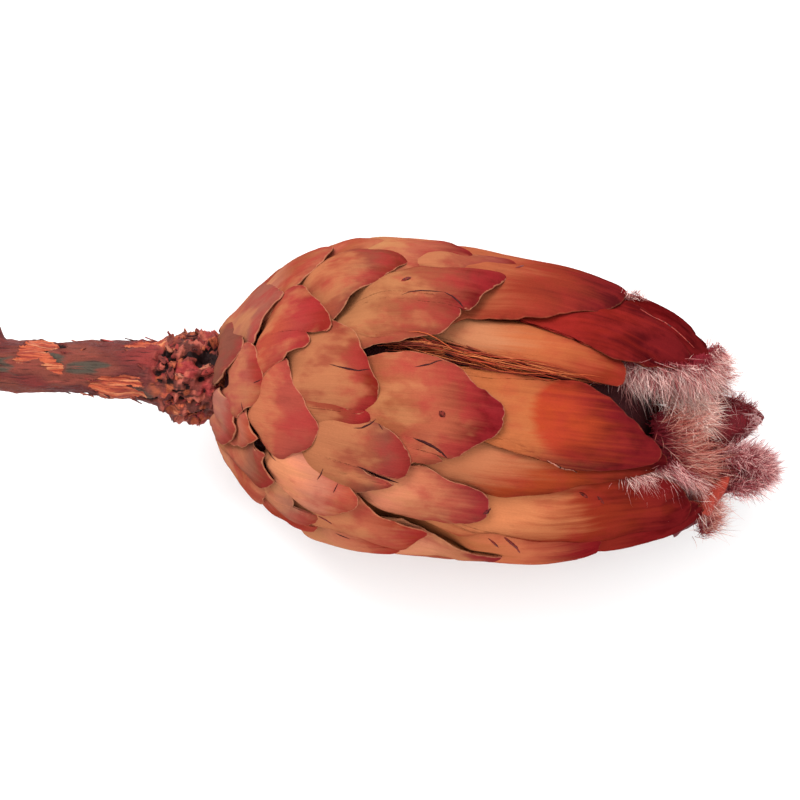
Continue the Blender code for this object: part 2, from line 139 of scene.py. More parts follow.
@dataclass
class HeadForm:
    """The closed head's own form: an outline turned round its axis, with a bent middle line."""

    outline: tuple[tuple[float, float], ...] = (
        (0.6, 6.0),
        (0.5, 9.0),
        (1.8, 12.2),
        (4.2, 15.8),
        (8.0, 21.0),
        (14.0, 26.4),
        (22.0, 30.0),
        (32.0, 32.1),
        (50.0, 32.0),
        (65.0, 31.0),
        (76.0, 29.0),
        (88.0, 25.2),
        (98.0, 20.8),
        (105.0, 15.5),
        (109.0, 9.0),
        (110.6, 3.0),
    )
    sideways: tuple[tuple[float, float], ...] = (
        (0.0, 0.5),
        (8.0, 0.6),
        (15.0, 1.1),
        (25.0, 1.4),
        (35.0, 1.1),
        (45.0, 1.4),
        (55.0, 0.6),
        (65.0, 0.4),
        (75.0, 0.2),
        (88.0, 0.0),
        (95.0, -0.4),
        (106.0, -0.4),
    )
    steps: int = 10
    flattened_below: float = 2.0
    lowest: float = -2.6

    def __post_init__(self) -> None:
        """Draws the smooth curve through the outline and measures along it."""
        given = np.array(self.outline)
        ends = np.vstack([2 * given[0] - given[1], given, 2 * given[-1] - given[-2]])
        t = np.linspace(0, 1, self.steps, endpoint=False)[:, None]
        spans = []
        for a, b, c, d in zip(ends, ends[1:], ends[2:], ends[3:]):
            cubic = 3 * b - a - 3 * c + d
            square = 2 * a - 5 * b + 4 * c - d
            spans.append(0.5 * (2 * b + (c - a) * t + square * t**2 + cubic * t**3))
        self.curve = np.vstack([*spans, given[-1]])
        gaps = np.linalg.norm(np.diff(self.curve, axis=0), axis=1)
        self.arc = np.concatenate([[0.0], np.cumsum(gaps)])
        self.first = int(np.argmin(self.curve[:20, 0]))

    def arc_at(self, along: float) -> float:
        """Arc length at a distance from the head's base, past the base's flat middle."""
        return float(np.interp(along, self.curve[self.first :, 0], self.arc[self.first :]))

    def radius(self, arc: np.ndarray) -> np.ndarray:
        """The head's radius at an arc length."""
        return np.interp(arc, self.arc, self.curve[:, 1])

    def place(self, arc: np.ndarray, angle: np.ndarray, height: np.ndarray) -> np.ndarray:
        """Points on, over or under the head's surface, in the part's frame.

        Args:
            arc: arc lengths from the head's base.
            angle: angles round its axis, in degrees.
            height: distances outwards from its surface.

        Returns:
            The points, in millimetres.
        """
        ahead = np.stack([np.interp(arc + 1.5, self.arc, self.curve[:, i]) for i in (0, 1)])
        behind = np.stack([np.interp(arc - 1.5, self.arc, self.curve[:, i]) for i in (0, 1)])
        run, rise = (ahead - behind) / np.linalg.norm(ahead - behind, axis=0)
        beyond = np.maximum(arc - self.arc[-1], 0)
        along = np.interp(arc, self.arc, self.curve[:, 0]) - rise * height + beyond * 0.6
        radius = np.maximum(self.radius(arc) + run * height, 0.2)
        middle = np.interp(along, *np.array(self.sideways).T)
        turn = np.radians(angle)
        spot = np.stack(
            [
                BASE_X + along,
                middle + radius * np.sin(turn),
                AXIS_HEIGHT + radius * np.cos(turn),
            ],
            axis=-1,
        )
        return self.rested(spot)

    def rested(self, points: np.ndarray) -> np.ndarray:
        """The points with those near and under the floor pressed flat above it."""
        low = self.flattened_below
        pressed = low * (points[..., 2] - self.lowest) / (low - self.lowest)
        points[..., 2] = np.where(points[..., 2] < low, np.maximum(pressed, 0.05), points[..., 2])
        return points


@dataclass
class PhotoPlane:
    """Where a pixel of the photograph lies at a height over the head's axis."""

    pixel: float = 0.2
    tilt: float = math.radians(5.43)
    base: tuple[float, float] = (212.0, 384.6)
    eye_along: float = 37.7
    eye_side: float = 0.5
    eye_height: float = 700.0

    def at(self, spots: np.ndarray, height: np.ndarray | float) -> np.ndarray:
        """Points in the part's frame under pixels of the photograph.

        Args:
            spots: pixels, one a row.
            height: how far over the axis each point is, in millimetres.

        Returns:
            The points, in millimetres.
        """
        spots = np.asarray(spots, dtype=float)
        dx, dy = spots[..., 0] - self.base[0], spots[..., 1] - self.base[1]
        cos, sin = math.cos(self.tilt), math.sin(self.tilt)
        along = self.pixel * (dx * cos + dy * sin)
        side = self.pixel * (dx * sin - dy * cos)
        nearer = (self.eye_height - height) / self.eye_height
        along = self.eye_along + (along - self.eye_along) * nearer
        side = self.eye_side + (side - self.eye_side) * nearer
        level = np.zeros_like(along) + height + AXIS_HEIGHT
        return np.stack([along + BASE_X, side, level], axis=-1)


@dataclass
class MeshBag:
    """The gathered vertices, faces and surface values of one piece."""

    verts: list[np.ndarray] = field(default_factory=list)
    faces: list[np.ndarray] = field(default_factory=list)
    values: dict[str, list[np.ndarray]] = field(default_factory=dict)
    count: int = 0

    def add(self, verts: np.ndarray, faces: np.ndarray, **values: np.ndarray) -> None:
        """Adds one shell.

        Args:
            verts: its points in millimetres.
            faces: its triangles or quads, as rows of vertex numbers of this shell.
            **values: one number, or a row of three, for each vertex, by attribute name.
        """
        self.verts.append(verts)
        triangles = faces
        if faces.shape[1] == 4:
            triangles = np.vstack([faces[:, [0, 1, 2]], faces[:, [0, 2, 3]]])
        self.faces.append(triangles + self.count)
        self.count += len(verts)
        for name, data in values.items():
            self.values.setdefault(name, []).append(np.asarray(data, dtype=np.float32))

    def triangles(self) -> int:
        """How many triangles are gathered so far."""
        return sum(len(faces) for faces in self.faces)

    def piece(self, name: str, smooth: bool = True) -> bpy.types.Object:
        """Makes the piece's object.

        Args:
            name: the object's name.
            smooth: whether its faces are shaded smoothly.

        Returns:
            The object, in metres, linked to the scene.
        """
        verts = np.vstack(self.verts) * MM
        faces = np.vstack(self.faces)
        data = bpy.data.meshes.new(name)
        data.vertices.add(len(verts))
        data.vertices.foreach_set("co", verts.astype(np.float32).ravel())
        data.loops.add(faces.size)
        data.loops.foreach_set("vertex_index", faces.astype(np.int32).ravel())
        data.polygons.add(len(faces))
        data.polygons.foreach_set("loop_start", np.arange(0, faces.size, 3, dtype=np.int32))
        data.polygons.foreach_set("use_smooth", np.full(len(faces), smooth))
        data.update(calc_edges=True)
        for key, parts in self.values.items():
            joined = np.concatenate(parts)
            kind = "FLOAT" if joined.ndim == 1 else "FLOAT_VECTOR"
            layer = data.attributes.new(key, kind, "POINT")
            field_name = "value" if joined.ndim == 1 else "vector"
            layer.data.foreach_set(field_name, joined.ravel())
        data.validate()
        made = bpy.data.objects.new(name, data)
        bpy.context.collection.objects.link(made)
        log.info("%s: %d triangles", name, len(faces))
        return made


def tone(red: float, green: float, blue: float) -> tuple[float, float, float]:
    """A colour for a shader from the 0 to 255 numbers that a screen shows.

    Args:
        red: the red number.
        green: the green number.
        blue: the blue number.

    Returns:
        The colour's linear numbers.
    """
    shares = (c / 255 for c in (red, green, blue))
    return tuple(c / 12.92 if c <= 0.04045 else ((c + 0.055) / 1.055) ** 2.4 for c in shares)


class Term:
    """A number, vector or colour of a material, which takes part in ordinary arithmetic."""

    def __init__(self, bench: Bench, socket: bpy.types.NodeSocket) -> None:
        """Wraps a node's output."""
        self.bench = bench
        self.socket = socket

    def _maths(self, operation: str, first: Operand, second: Operand | None = None) -> Term:
        """A Math node of two operands."""
        inputs = {0: first} if second is None else {0: first, 1: second}
        made = self.bench.node("ShaderNodeMath", {"operation": operation}, inputs)
        return Term(self.bench, made.outputs[0])

    def __add__(self, other: Operand) -> Term:
        """The sum."""
        return self._maths("ADD", self, other)

    __radd__ = __add__

    def __sub__(self, other: Operand) -> Term:
        """The difference."""
        return self._maths("SUBTRACT", self, other)

    def __rsub__(self, other: Operand) -> Term:
        """The difference the other way round."""
        return self._maths("SUBTRACT", other, self)

    def __mul__(self, other: Operand) -> Term:
        """The product."""
        return self._maths("MULTIPLY", self, other)

    __rmul__ = __mul__

    def __truediv__(self, other: Operand) -> Term:
        """The quotient."""
        return self._maths("DIVIDE", self, other)

    def __rtruediv__(self, other: Operand) -> Term:
        """The quotient the other way round."""
        return self._maths("DIVIDE", other, self)

    def __pow__(self, other: Operand) -> Term:
        """The power."""
        return self._maths("POWER", self, other)

    def clear_of(self, low: float, high: float) -> Term:
        """A smooth share, 0 at low and 1 at high, which may stand the other way round."""
        settings = {"interpolation_type": "SMOOTHSTEP"}
        inputs = {0: self, 1: min(low, high), 2: max(low, high)}
        inputs |= {3: 0.0, 4: 1.0} if low < high else {3: 1.0, 4: 0.0}
        made = self.bench.node("ShaderNodeMapRange", settings, inputs)
        return Term(self.bench, made.outputs[0])


Operand = Term | float
Colour = Term | tuple[float, float, float]


class Bench:
    """One material's node tree, whose nodes are made by plain calls."""

    def __init__(self, name: str) -> None:
        """Starts an empty material.

        Args:
            name: the material's name.
        """
        self.material = bpy.data.materials.new(name)
        self.material.use_nodes = True
        self.tree = self.material.node_tree
        self.tree.nodes.clear()

    def node(self, kind: str, settings: dict, inputs: dict) -> bpy.types.Node:
        """Makes a node, with its settings before its inputs.

        Args:
            kind: the node's type.
            settings: properties of the node.
            inputs: values or Terms for its inputs, by name or number.

        Returns:
            The node.
        """
        made = self.tree.nodes.new(kind)
        for key, value in settings.items():
            setattr(made, key, value)
        for key, value in inputs.items():
            socket = made.inputs[key]
            if isinstance(value, Term):
                self.tree.links.new(value.socket, socket)
            elif isinstance(value, tuple) and len(socket.default_value) == 4:
                socket.default_value = (*value, 1.0)
            else:
                socket.default_value = value
        return made

    def read(self, name: str) -> Term:
        """A number that the mesh carries at each of its points."""
        made = self.node("ShaderNodeAttribute", {"attribute_name": name}, {})
        return Term(self, made.outputs["Fac"])

    def read_vector(self, name: str) -> Term:
        """A vector or colour that the mesh carries at each of its points."""
        made = self.node("ShaderNodeAttribute", {"attribute_name": name}, {})
        return Term(self, made.outputs["Vector"])

    def stretched(self, vector: Term, scale: tuple[float, float, float]) -> Term:
        """A vector with each of its parts multiplied by its own number."""
        inputs = {0: vector, 1: scale}
        made = self.node("ShaderNodeVectorMath", {"operation": "MULTIPLY"}, inputs)
        return Term(self, made.outputs[0])

    def noise(self, vector: Term, scale: tuple[float, float, float], detail: float = 2) -> Term:
        """Noise from 0 to 1, with its own scale along each axis.

        Args:
            vector: where it is read.
            scale: how many of its lumps fit in one unit along each axis.
            detail: how many finer layers it has.

        Returns:
            The noise.
        """
        place = self.stretched(vector, scale)
        inputs = {"Vector": place, "Scale": 1.0, "Detail": detail, "Roughness": 0.55}
        return Term(self, self.node("ShaderNodeTexNoise", {}, inputs).outputs[0])

    def mix(self, share: Operand, first: Colour, second: Colour) -> Term:
        """A colour between two others.

        Args:
            share: how much there is of the second.
            first: the colour at 0.
            second: the colour at 1.

        Returns:
            The mixed colour.
        """
        settings = {"data_type": "RGBA", "clamp_factor": True}
        made = self.node("ShaderNodeMix", settings, {0: share, 6: first, 7: second})
        return Term(self, made.outputs[2])

    def shaded(self, colour: Colour, factor: Term) -> Term:
        """A colour made lighter or darker by a number."""
        inputs = {0: colour, 3: factor}
        made = self.node("ShaderNodeVectorMath", {"operation": "SCALE"}, inputs)
        return Term(self, made.outputs[0])

    def bump(self, height: Term, depth: float) -> Term:
        """A surface normal from a height in units of depth, in millimetres."""
        inputs = {"Height": height, "Strength": 1.0, "Distance": depth * MM}
        return Term(self, self.node("ShaderNodeBump", {}, inputs).outputs[0])

    def finish(self, varying: dict, fixed: dict) -> bpy.types.Material:
        """Ends the material in one Principled shader.

        Args:
            varying: Terms for the inputs that change over the surface.
            fixed: plain values for the others.

        Returns:
            The material.
        """
        shader = self.node("ShaderNodeBsdfPrincipled", {}, {**fixed, **varying})
        output = self.node("ShaderNodeOutputMaterial", {}, {})
        self.tree.links.new(shader.outputs[0], output.inputs[0])
        return self.material


@dataclass(frozen=True)
class BractFinish:
    """The dry, satin skin of the bracts: tinted along each, finely ribbed, with rubbed edges."""

    name: str
    bloom: tuple[float, float, float] = tone(128, 56, 60)
    papery: tuple[float, float, float] = tone(214, 158, 122)
    bruise: tuple[float, float, float] = tone(52, 14, 20)
    blush: tuple[float, float, float] = tone(172, 50, 56)
    tan: tuple[float, float, float] = tone(208, 146, 100)
    bloom_share: float = 0.14
    blush_share: float = 0.52
    tan_share: float = 0.42
    edge_share: float = 0.42
    roughness: float = 0.5
    gloss: float = 0.0
    gain: tuple[float, float, float] = (1.0, 0.86, 0.7)

    def skin(self, bench: Bench) -> tuple[Term, Term, Term]:
        """The colour before wear, the fine ribs and the broad blotches.

        Args:
            bench: the material's node tree.

        Returns:
            The three Terms.
        """
        grain = bench.read_vector("grain")
        drift = bench.noise(grain, (0.16, 0.05, 1.0), 3)
        streak = bench.noise(grain, (1.1, 0.035, 1.0), 3)
        reach = bench.read("reach") + (drift - 0.5) * 0.55 + (streak - 0.5) * 0.35
        base = bench.read_vector("tint_base")
        middle = bench.read_vector("tint_middle")
        tip = bench.read_vector("tint_tip")
        colour = bench.mix(reach.clear_of(0.12, 0.55), base, middle)
        colour = bench.mix(reach.clear_of(0.5, 0.98), colour, tip)
        ribs = bench.noise(grain, (3.2, 0.09, 1.0), 3)
        blotch = bench.noise(grain, (0.3, 0.14, 1.0), 4)
        return colour, ribs, blotch

    def material(self) -> bpy.types.Material:
        """Makes the finish's material."""
        bench = Bench(self.name)
        colour, ribs, blotch = self.skin(bench)
        grain = bench.read_vector("grain")
        edge = bench.read("edge")
        wear = bench.noise(grain, (0.7, 0.5, 1.0), 4)
        fine = bench.noise(grain, (5.0, 2.2, 1.0), 3)
        bloomed = blotch.clear_of(0.52, 0.72) * self.bloom_share
        bloomed = bloomed * bench.read("reach").clear_of(0.2, 0.7)
        colour = bench.mix(bloomed, colour, self.bloom)
        bruised = blotch.clear_of(0.42, 0.22) * 0.2
        colour = bench.mix(bruised, colour, self.bruise)
        reach = bench.read("reach") * 0.22
        tanned = (bench.noise(grain, (0.17, 0.09, 3.0), 3) + reach).clear_of(0.62, 0.44)
        colour = bench.mix(tanned * self.tan_share, colour, self.tan)
        blushed = (bench.noise(grain, (0.2, 0.13, 1.0), 4) + reach).clear_of(0.54, 0.8)
        colour = bench.mix(blushed * self.blush_share, colour, self.blush)
        dark_rim = edge.clear_of(2.4, 0.2) * wear.clear_of(0.3, 0.7) * 0.16
        colour = bench.mix(dark_rim, colour, self.bruise)
        pale_rim = (edge + (wear - 0.5) * 0.9).clear_of(0.24, 0.06) * self.edge_share
        flecks = bench.noise(grain, (3.6, 1.2, 1.0), 3).clear_of(0.66, 0.78)
        colour = bench.mix(pale_rim + flecks * self.edge_share * 0.3, colour, self.papery)
        colour = bench.mix(bench.read("mark"), colour, self.bruise)
        colour = bench.stretched(colour, self.gain)
        colour = bench.shaded(colour, 0.49 + ribs * 0.14 + fine * 0.16)
        height = ribs * 0.4 + fine * 0.22 + blotch * 0.6
        rough = self.roughness - 0.12 + wear * 0.26
        varying = {
            "Base Color": colour,
            "Roughness": rough,
            "Normal": bench.bump(height, 0.2),
        }
        fixed = {"Specular IOR Level": self.gloss}
        return bench.finish(varying, fixed)


@dataclass(frozen=True)
class HairFinish:
    """Fine dry hair, crimson at the root and paler to the tip."""

    name: str
    root: tuple[float, float, float] = tone(118, 28, 38)
    roughness: float = 0.7

    def material(self) -> bpy.types.Material:
        """Makes the finish's material."""
        bench = Bench(self.name)
        spot = bench.read_vector("grain")
        speck = bench.noise(spot, (0.5, 0.5, 0.5), 3)
        tint = bench.read_vector("tint_tip")
        along = bench.read("reach") + (speck - 0.5) * 0.7
        colour = bench.mix(along.clear_of(0.12, 0.82), self.root, tint)
        colour = bench.shaded(colour, 0.8 + speck * 0.6)
        varying = {"Base Color": colour, "Roughness": self.roughness - 0.1 + speck * 0.2}
        return bench.finish(varying, {"Specular IOR Level": 0.12})


@dataclass(frozen=True)
class BarkFinish:
    """The stem's skin: streaked maroon-brown bark and bared, fibrous wood."""

    name: str
    wood: tuple[float, float, float] = tone(178, 84, 54)
    pale: tuple[float, float, float] = tone(204, 134, 92)
    stain: tuple[float, float, float] = tone(134, 46, 36)
    dark: tuple[float, float, float] = tone(32, 12, 12)
    streak: tuple[float, float, float] = tone(142, 62, 52)

    def material(self) -> bpy.types.Material:
        """Makes the finish's material."""
        bench = Bench(self.name)
        grain = bench.read_vector("grain")
        fibre = bench.noise(grain, (2.6, 0.2, 1.0), 4)
        strip = bench.noise(grain, (1.1, 0.09, 1.0), 3)
        crumb = bench.noise(grain, (3.0, 2.2, 1.0), 4)
        scar, pit = bench.read("scar"), bench.read("pit")
        colour = bench.mix(strip.clear_of(0.55, 0.7) * 0.5, bench.read_vector("tint_tip"), self.streak)
        colour = bench.mix(fibre.clear_of(0.45, 0.32) * 0.7, colour, self.dark)
        bared = (scar + (fibre - 0.5) * 1.5 + (crumb - 0.5) * 0.8).clear_of(0.42, 0.62)
        timber = bench.mix(strip.clear_of(0.48, 0.66), self.wood, self.pale)
        timber = bench.mix(fibre.clear_of(0.56, 0.42) * 0.9, timber, self.stain)
        colour = bench.mix(bared, colour, timber)
        # Painted shade: the dented pits and the hollows between the collar's lumps are darkened towards
        # near-black.
        colour = bench.mix((pit + (crumb - 0.5) * 0.7).clear_of(0.3, 0.75), colour, self.dark)
        colour = bench.shaded(colour, 0.5 + fibre * 0.4 + crumb * 0.5)
        varying = {
            "Base Color": colour,
            "Roughness": 0.5 + crumb * 0.4,
            "Normal": bench.bump(fibre * 0.8 + crumb * 0.7 + strip * 0.6, 0.5),
        }
        return bench.finish(varying, {"Specular IOR Level": 0.2})


@dataclass(frozen=True)
class ChaffFinish:
    """Torn papery slivers and crumbs of bark, each with its own tint."""

    name: str
    shadow: tuple[float, float, float] = tone(62, 20, 18)
    # patchy: how strong the painted shade in the crumbs' hollows is.
    patchy: float = 1.0

    def material(self) -> bpy.types.Material:
        """Makes the finish's material."""
        bench = Bench(self.name)
        grain = bench.read_vector("grain")
        fibre = bench.noise(grain, (2.6, 0.5, 1.0), 3)
        crumb = bench.noise(grain, (1.8, 1.6, 1.0), 3)
        # Painted shade: darker towards the shadow colour where the crumb noise is low, which is where the bump
        # puts hollows.
        crevice_shade = crumb.clear_of(0.5, 0.34) * self.patchy
        colour = bench.mix(crevice_shade, bench.read_vector("tint_tip"), self.shadow)
        colour = bench.shaded(colour, 0.42 + fibre * 0.96)
        varying = {
            "Base Color": colour,
            "Roughness": 0.55 + crumb * 0.3,
            "Normal": bench.bump(fibre + crumb, 0.3),
        }
        return bench.finish(varying, {"Specular IOR Level": 0.15})


@dataclass(frozen=True)
class FloorFinish:
    """The plain pale surface that the flower lies on."""

    name: str = "pale_floor"
    colour: tuple[float, float, float] = (0.9, 0.9, 0.9)

    def material(self) -> bpy.types.Material:
        """Makes the finish's material."""
        bench = Bench(self.name)
        return bench.finish({}, {"Base Color": self.colour, "Roughness": 0.9})


@dataclass(frozen=True)
class Tints:
    """A bract's colours at its base, its middle and its tip."""

    base: tuple[float, float, float]
    middle: tuple[float, float, float]
    tip: tuple[float, float, float]


class Skin(Enum):
    """The ranges of colour found on the bracts."""

    DUSTY = Tints(tone(181, 107, 97), tone(172, 108, 94), tone(147, 73, 53))
    SALMON = Tints(tone(175, 104, 85), tone(164, 95, 82), tone(162, 91, 78))
    ROSE = Tints(tone(177, 108, 90), tone(157, 80, 56), tone(176, 104, 78))
    PEACH = Tints(tone(189, 116, 88), tone(179, 102, 77), tone(148, 49, 32))
    TAN = Tints(tone(198, 122, 93), tone(169, 106, 87), tone(151, 71, 51))
    RUSTY = Tints(tone(182, 100, 78), tone(169, 82, 76), tone(149, 56, 48))
    RED = Tints(tone(182, 122, 85), tone(174, 94, 74), tone(114, 24, 30))
    MAROON = Tints(tone(161, 97, 65), tone(183, 104, 78), tone(106, 17, 26))
    BRICK = Tints(tone(213, 139, 109), tone(182, 114, 85), tone(124, 41, 44))
    ORANGE = Tints(tone(202, 134, 96), tone(198, 120, 80), tone(98, 22, 34))
    AMBER = Tints(tone(206, 128, 97), tone(174, 72, 44), tone(86, 16, 24))
    GOLD = Tints(tone(216, 148, 114), tone(206, 118, 80), tone(150, 56, 40))
    CRIMSON = Tints(tone(216, 140, 102), tone(150, 54, 38), tone(86, 14, 22))
    DEEP = Tints(tone(200, 92, 56), tone(166, 46, 40), tone(82, 16, 26))
    EMBER = Tints(tone(196, 112, 84), tone(162, 66, 52), tone(98, 28, 36))
    WINE = Tints(tone(146, 48, 42), tone(118, 24, 30), tone(74, 14, 22))


HEAD_LEVEL = (  # (arc length, how far the bracts may stand out of the head's form there)
    (8.0, 0.0),
    (18.0, -0.5),
    (26.0, -0.8),
    (44.0, -0.6),
    (60.0, -0.7),
    (72.0, -1.2),
    (84.0, -0.7),
    (97.0, -1.2),
    (110.0, -0.8),
    (124.0, -0.3),
)


@dataclass
class Layers:
    """The height of what has been laid down so far, over the whole head."""

    arcs: int = 134
    sectors: int = 180
    empty: float = -9.0

    def __post_init__(self) -> None:
        """Starts with nothing laid down."""
        self.top = np.full((self.arcs, self.sectors), self.empty)

    def _spread(self, grid: np.ndarray) -> np.ndarray:
        """The highest value round each cell."""
        wide = np.maximum(grid, np.maximum(np.roll(grid, 1, 1), np.roll(grid, -1, 1)))
        tall = np.pad(wide, ((1, 1), (0, 0)), mode="edge")
        return np.maximum(wide, np.maximum(tall[:-2], tall[2:]))

    def _soften(self, grid: np.ndarray) -> np.ndarray:
        """The mean value round each cell."""
        wide = (grid + np.roll(grid, 1, 1) + np.roll(grid, -1, 1)) / 3
        tall = np.pad(wide, ((1, 1), (0, 0)), mode="edge")
        return (wide + tall[:-2] + tall[2:]) / 3

    def _read(self, grid: np.ndarray, arc: np.ndarray, angle: np.ndarray) -> np.ndarray:
        """Values between the cells, at places on the head."""
        row = np.clip(arc, 0, self.arcs - 1.001)
        column = (angle % 360) * self.sectors / 360
        r0, c0 = np.floor(row).astype(int), np.floor(column).astype(int)
        fr, fc = row - r0, column - c0
        c1 = (c0 + 1) % self.sectors
        c0 = c0 % self.sectors
        near = grid[r0, c0] * (1 - fc) + grid[r0, c1] * fc
        far = grid[r0 + 1, c0] * (1 - fc) + grid[r0 + 1, c1] * fc
        return near * (1 - fr) + far * fr

    def _cells(self, arc: np.ndarray, angle: np.ndarray) -> tuple[np.ndarray, np.ndarray]:
        """The nearest cell of each place."""
        row = np.clip(np.rint(arc), 0, self.arcs - 1).astype(int)
        return row, np.rint((angle % 360) * self.sectors / 360).astype(int) % self.sectors

    def under(self, arc: np.ndarray, angle: np.ndarray) -> np.ndarray:
        """The height of what lies under places on the head.

        Args:
            arc: arc lengths from the head's base.
            angle: angles round its axis.

        Returns:
            The heights, or the value for nothing there.
        """
        return self._read(self._soften(self._spread(self.top)), arc, angle)

    def lifted(self, arc: np.ndarray, angle: np.ndarray, need: np.ndarray) -> np.ndarray:
        """A smooth lift that is at least about what is needed at each place.

        Args:
            arc: arc lengths from the head's base.
            angle: angles round its axis.
            need: the least lift at each place.

        Returns:
            The smoothed lifts.
        """
        grid = np.zeros_like(self.top)
        np.maximum.at(grid, self._cells(arc, angle), need)
        grid = self._spread(grid)
        for _ in range(3):
            grid = self._soften(grid)
        return self._read(grid, arc, angle)

    def lay(self, arc: np.ndarray, angle: np.ndarray, height: np.ndarray) -> None:
        """Adds a blade's heights to what is laid down."""
        fresh = np.full_like(self.top, self.empty)
        np.maximum.at(fresh, self._cells(arc, angle), height)
        bare = fresh <= self.empty + 0.01
        fresh = np.where(bare, self._spread(fresh), fresh)
        self.top = np.maximum(self.top, fresh)

    def excess(self) -> np.ndarray:
        """How far the whole head stands out over where its bracts may, smoothed, for each cell.

        Returns:
            The grid of heights to take off.
        """
        level = np.interp(np.arange(self.arcs), *np.array(HEAD_LEVEL).T)[:, None]
        grid = np.maximum(self.top - level, 0)
        for _ in range(14):
            grid = self._soften(grid)
        return grid

    def trimmed(self, grid: np.ndarray, arc: np.ndarray, angle: np.ndarray) -> np.ndarray:
        """What to take off at places on the head."""
        return self._read(grid, arc, angle)


@dataclass
class Bract:
    """One bract: a thin blade fanned from a short root to the margin that was traced for it."""

    name: str
    kind: Kind
    skin: Skin
    margin: tuple[tuple[float, float], ...]
    back: float = 0.0
    gap: float = 0.36
    flank: float = 7.0
    step: float = 0.0
    fray: float = 1.0
    deeper: float = 0.0
    fade: float = 0.0
    # shade: each bract's brightness, partly its own tone and partly painted light that lifts bracts lying in
    # shade.
    shade: float = 1.0
    blush: float = 0.0
    flame: tuple[float, float] | None = None
    seed: int = 0

    def __post_init__(self) -> None:
        """Settles what follows from the kind of bract."""
        self.back = self.back or {Kind.SCALE: 7.0, Kind.BRACT: 13.0, Kind.LONG: 20.0}[self.kind]
        self.step = self.step or {Kind.SCALE: 0.82, Kind.BRACT: 0.82, Kind.LONG: 1.4}[self.kind]
        self.depth = {Kind.SCALE: 3.4, Kind.BRACT: 6.0, Kind.LONG: 7.5}[self.kind]
        self.slope = {Kind.SCALE: 0.1, Kind.BRACT: 0.085, Kind.LONG: 0.075}[self.kind]
        self.crown = {Kind.SCALE: 0.8, Kind.BRACT: 1.8, Kind.LONG: 3.0}[self.kind]
        self.bulge = {Kind.SCALE: 0.7, Kind.BRACT: 1.5, Kind.LONG: 2.4}[self.kind]
        self.breadth = {Kind.SCALE: 4.5, Kind.BRACT: 6.0, Kind.LONG: 8.0}[self.kind]
        self.thick = {Kind.SCALE: 0.75, Kind.BRACT: 0.8, Kind.LONG: 0.85}[self.kind]
        self.seed = self.seed or sum(ord(c) * (i + 3) for i, c in enumerate(self.name))

    def unrolled(self, form: HeadForm) -> tuple[np.ndarray, float]:
        """The margin with its hidden flanks, flattened round the bract's middle angle.

        Args:
            form: the head's form.

        Returns:
            Rows of (arc, distance across), and the middle angle.
        """
        given = np.array(self.margin)
        ends = given[[0, -1]] + np.array([[-5.0, self.flank], [-5.0, -self.flank]])
        ends[:, 0] = np.maximum(ends[:, 0], 4.4)
        given = np.vstack([ends[0], given, ends[1]])
        middle = (given[:, 1].max() + given[:, 1].min()) / 2
        across = np.radians(given[:, 1] - middle) * form.radius(given[:, 0])
        return np.column_stack([given[:, 0], across]), middle

    def ragged(self, flat: np.ndarray, noise: Noise) -> np.ndarray:
        """The margin drawn finely, with small tears and waves.

        Args:
            flat: the traced margin, unrolled.
            noise: where the tears come from.

        Returns:
            The fine margin.
        """
        gaps = np.linalg.norm(np.diff(flat, axis=0), axis=1)
        along = np.concatenate([[0], np.cumsum(gaps)])
        count = max(int(along[-1] / self.step), 8)
        place = np.linspace(0, along[-1], count + 1)
        fine = np.column_stack([np.interp(place, along, flat[:, i]) for i in (0, 1)])
        eased = fine.copy()
        eased[1:-1] = 0.25 * fine[:-2] + 0.5 * fine[1:-1] + 0.25 * fine[2:]
        slant = np.gradient(eased, axis=0)
        slant /= np.linalg.norm(slant, axis=1)[:, None] + 1e-9
        spots = np.column_stack([place, np.zeros_like(place), np.full_like(place, self.seed)])
        tear = 0.2 * noise.at(spots, (3.1, 1, 1)) + 0.16 * noise.at(spots + 40, (1.3, 1, 1))
        bite = np.clip(noise.at(spots + 90, (2.2, 1, 1)) - 0.55, 0, 1) * 1.6
        move = (tear - bite * 0.5) * self.fray
        outward = np.column_stack([-slant[:, 1], slant[:, 0]])
        centre = eased.mean(axis=0)
        turn = np.sign(np.sum(outward * (eased - centre), axis=1).mean()) or 1.0
        return eased + outward * turn * move[:, None]

    def sheet(self, form: HeadForm) -> dict[str, np.ndarray]:
        """The blade's grid, flat: rows from the margin back to the root, columns round the margin.

        Args:
            form: the head's form.

        Returns:
            Arrays by name: arc, across, edge, inward (distance along the fan) and the angle.
        """
        noise = Noise(self.seed)
        flat, middle = self.unrolled(form)
        rim = self.ragged(flat, noise)
        shares = np.concatenate([[0], np.cumsum(np.linalg.norm(np.diff(rim, axis=0), axis=1))])
        shares /= shares[-1]
        root_arc = max(flat[:, 0].min() - self.back, 4.3)
        width = 0.5 * (flat[0, 1] - flat[-1, 1])
        centre = 0.5 * (flat[0, 1] + flat[-1, 1])
        roots = np.column_stack(
            [np.full_like(shares, root_arc), centre + width * (0.5 - shares) * 0.9]
        )
        span = np.linalg.norm(rim - roots, axis=1)
        longest = span.max()
        fixed = [0, 0.14, 0.34, 0.65, 1.1, 1.8, 2.7]
        rest = np.linspace(0, 1, max(int((longest - 2.7) / (self.step * 1.35)), 3) + 1)[1:]
        rows = []
        for back in fixed:
            rows.append(np.minimum(back / span, 0.5 + 0.01 * back))
        for share in rest:
            rows.append(rows[len(fixed) - 1] * (1 - share) + share)
        share = np.stack(rows)
        grid = rim[None] + (roots - rim)[None] * share[..., None]
        outline = np.vstack([rim, roots[-1]])
        gap = grid.reshape(-1, 1, 2) - outline[None, :-1]
        edge = np.sqrt((gap**2).sum(axis=-1)).min(axis=1).reshape(share.shape)
        edge = np.where(share <= 0, 0, edge)
        arc, across = grid[..., 0], grid[..., 1]
        angle = middle + np.degrees(across / form.radius(arc))
        return {
            "arc": arc,
            "across": across,
            "edge": edge,
            "inward": share * span[None],
            "angle": angle,
            "row_share": share,
        }

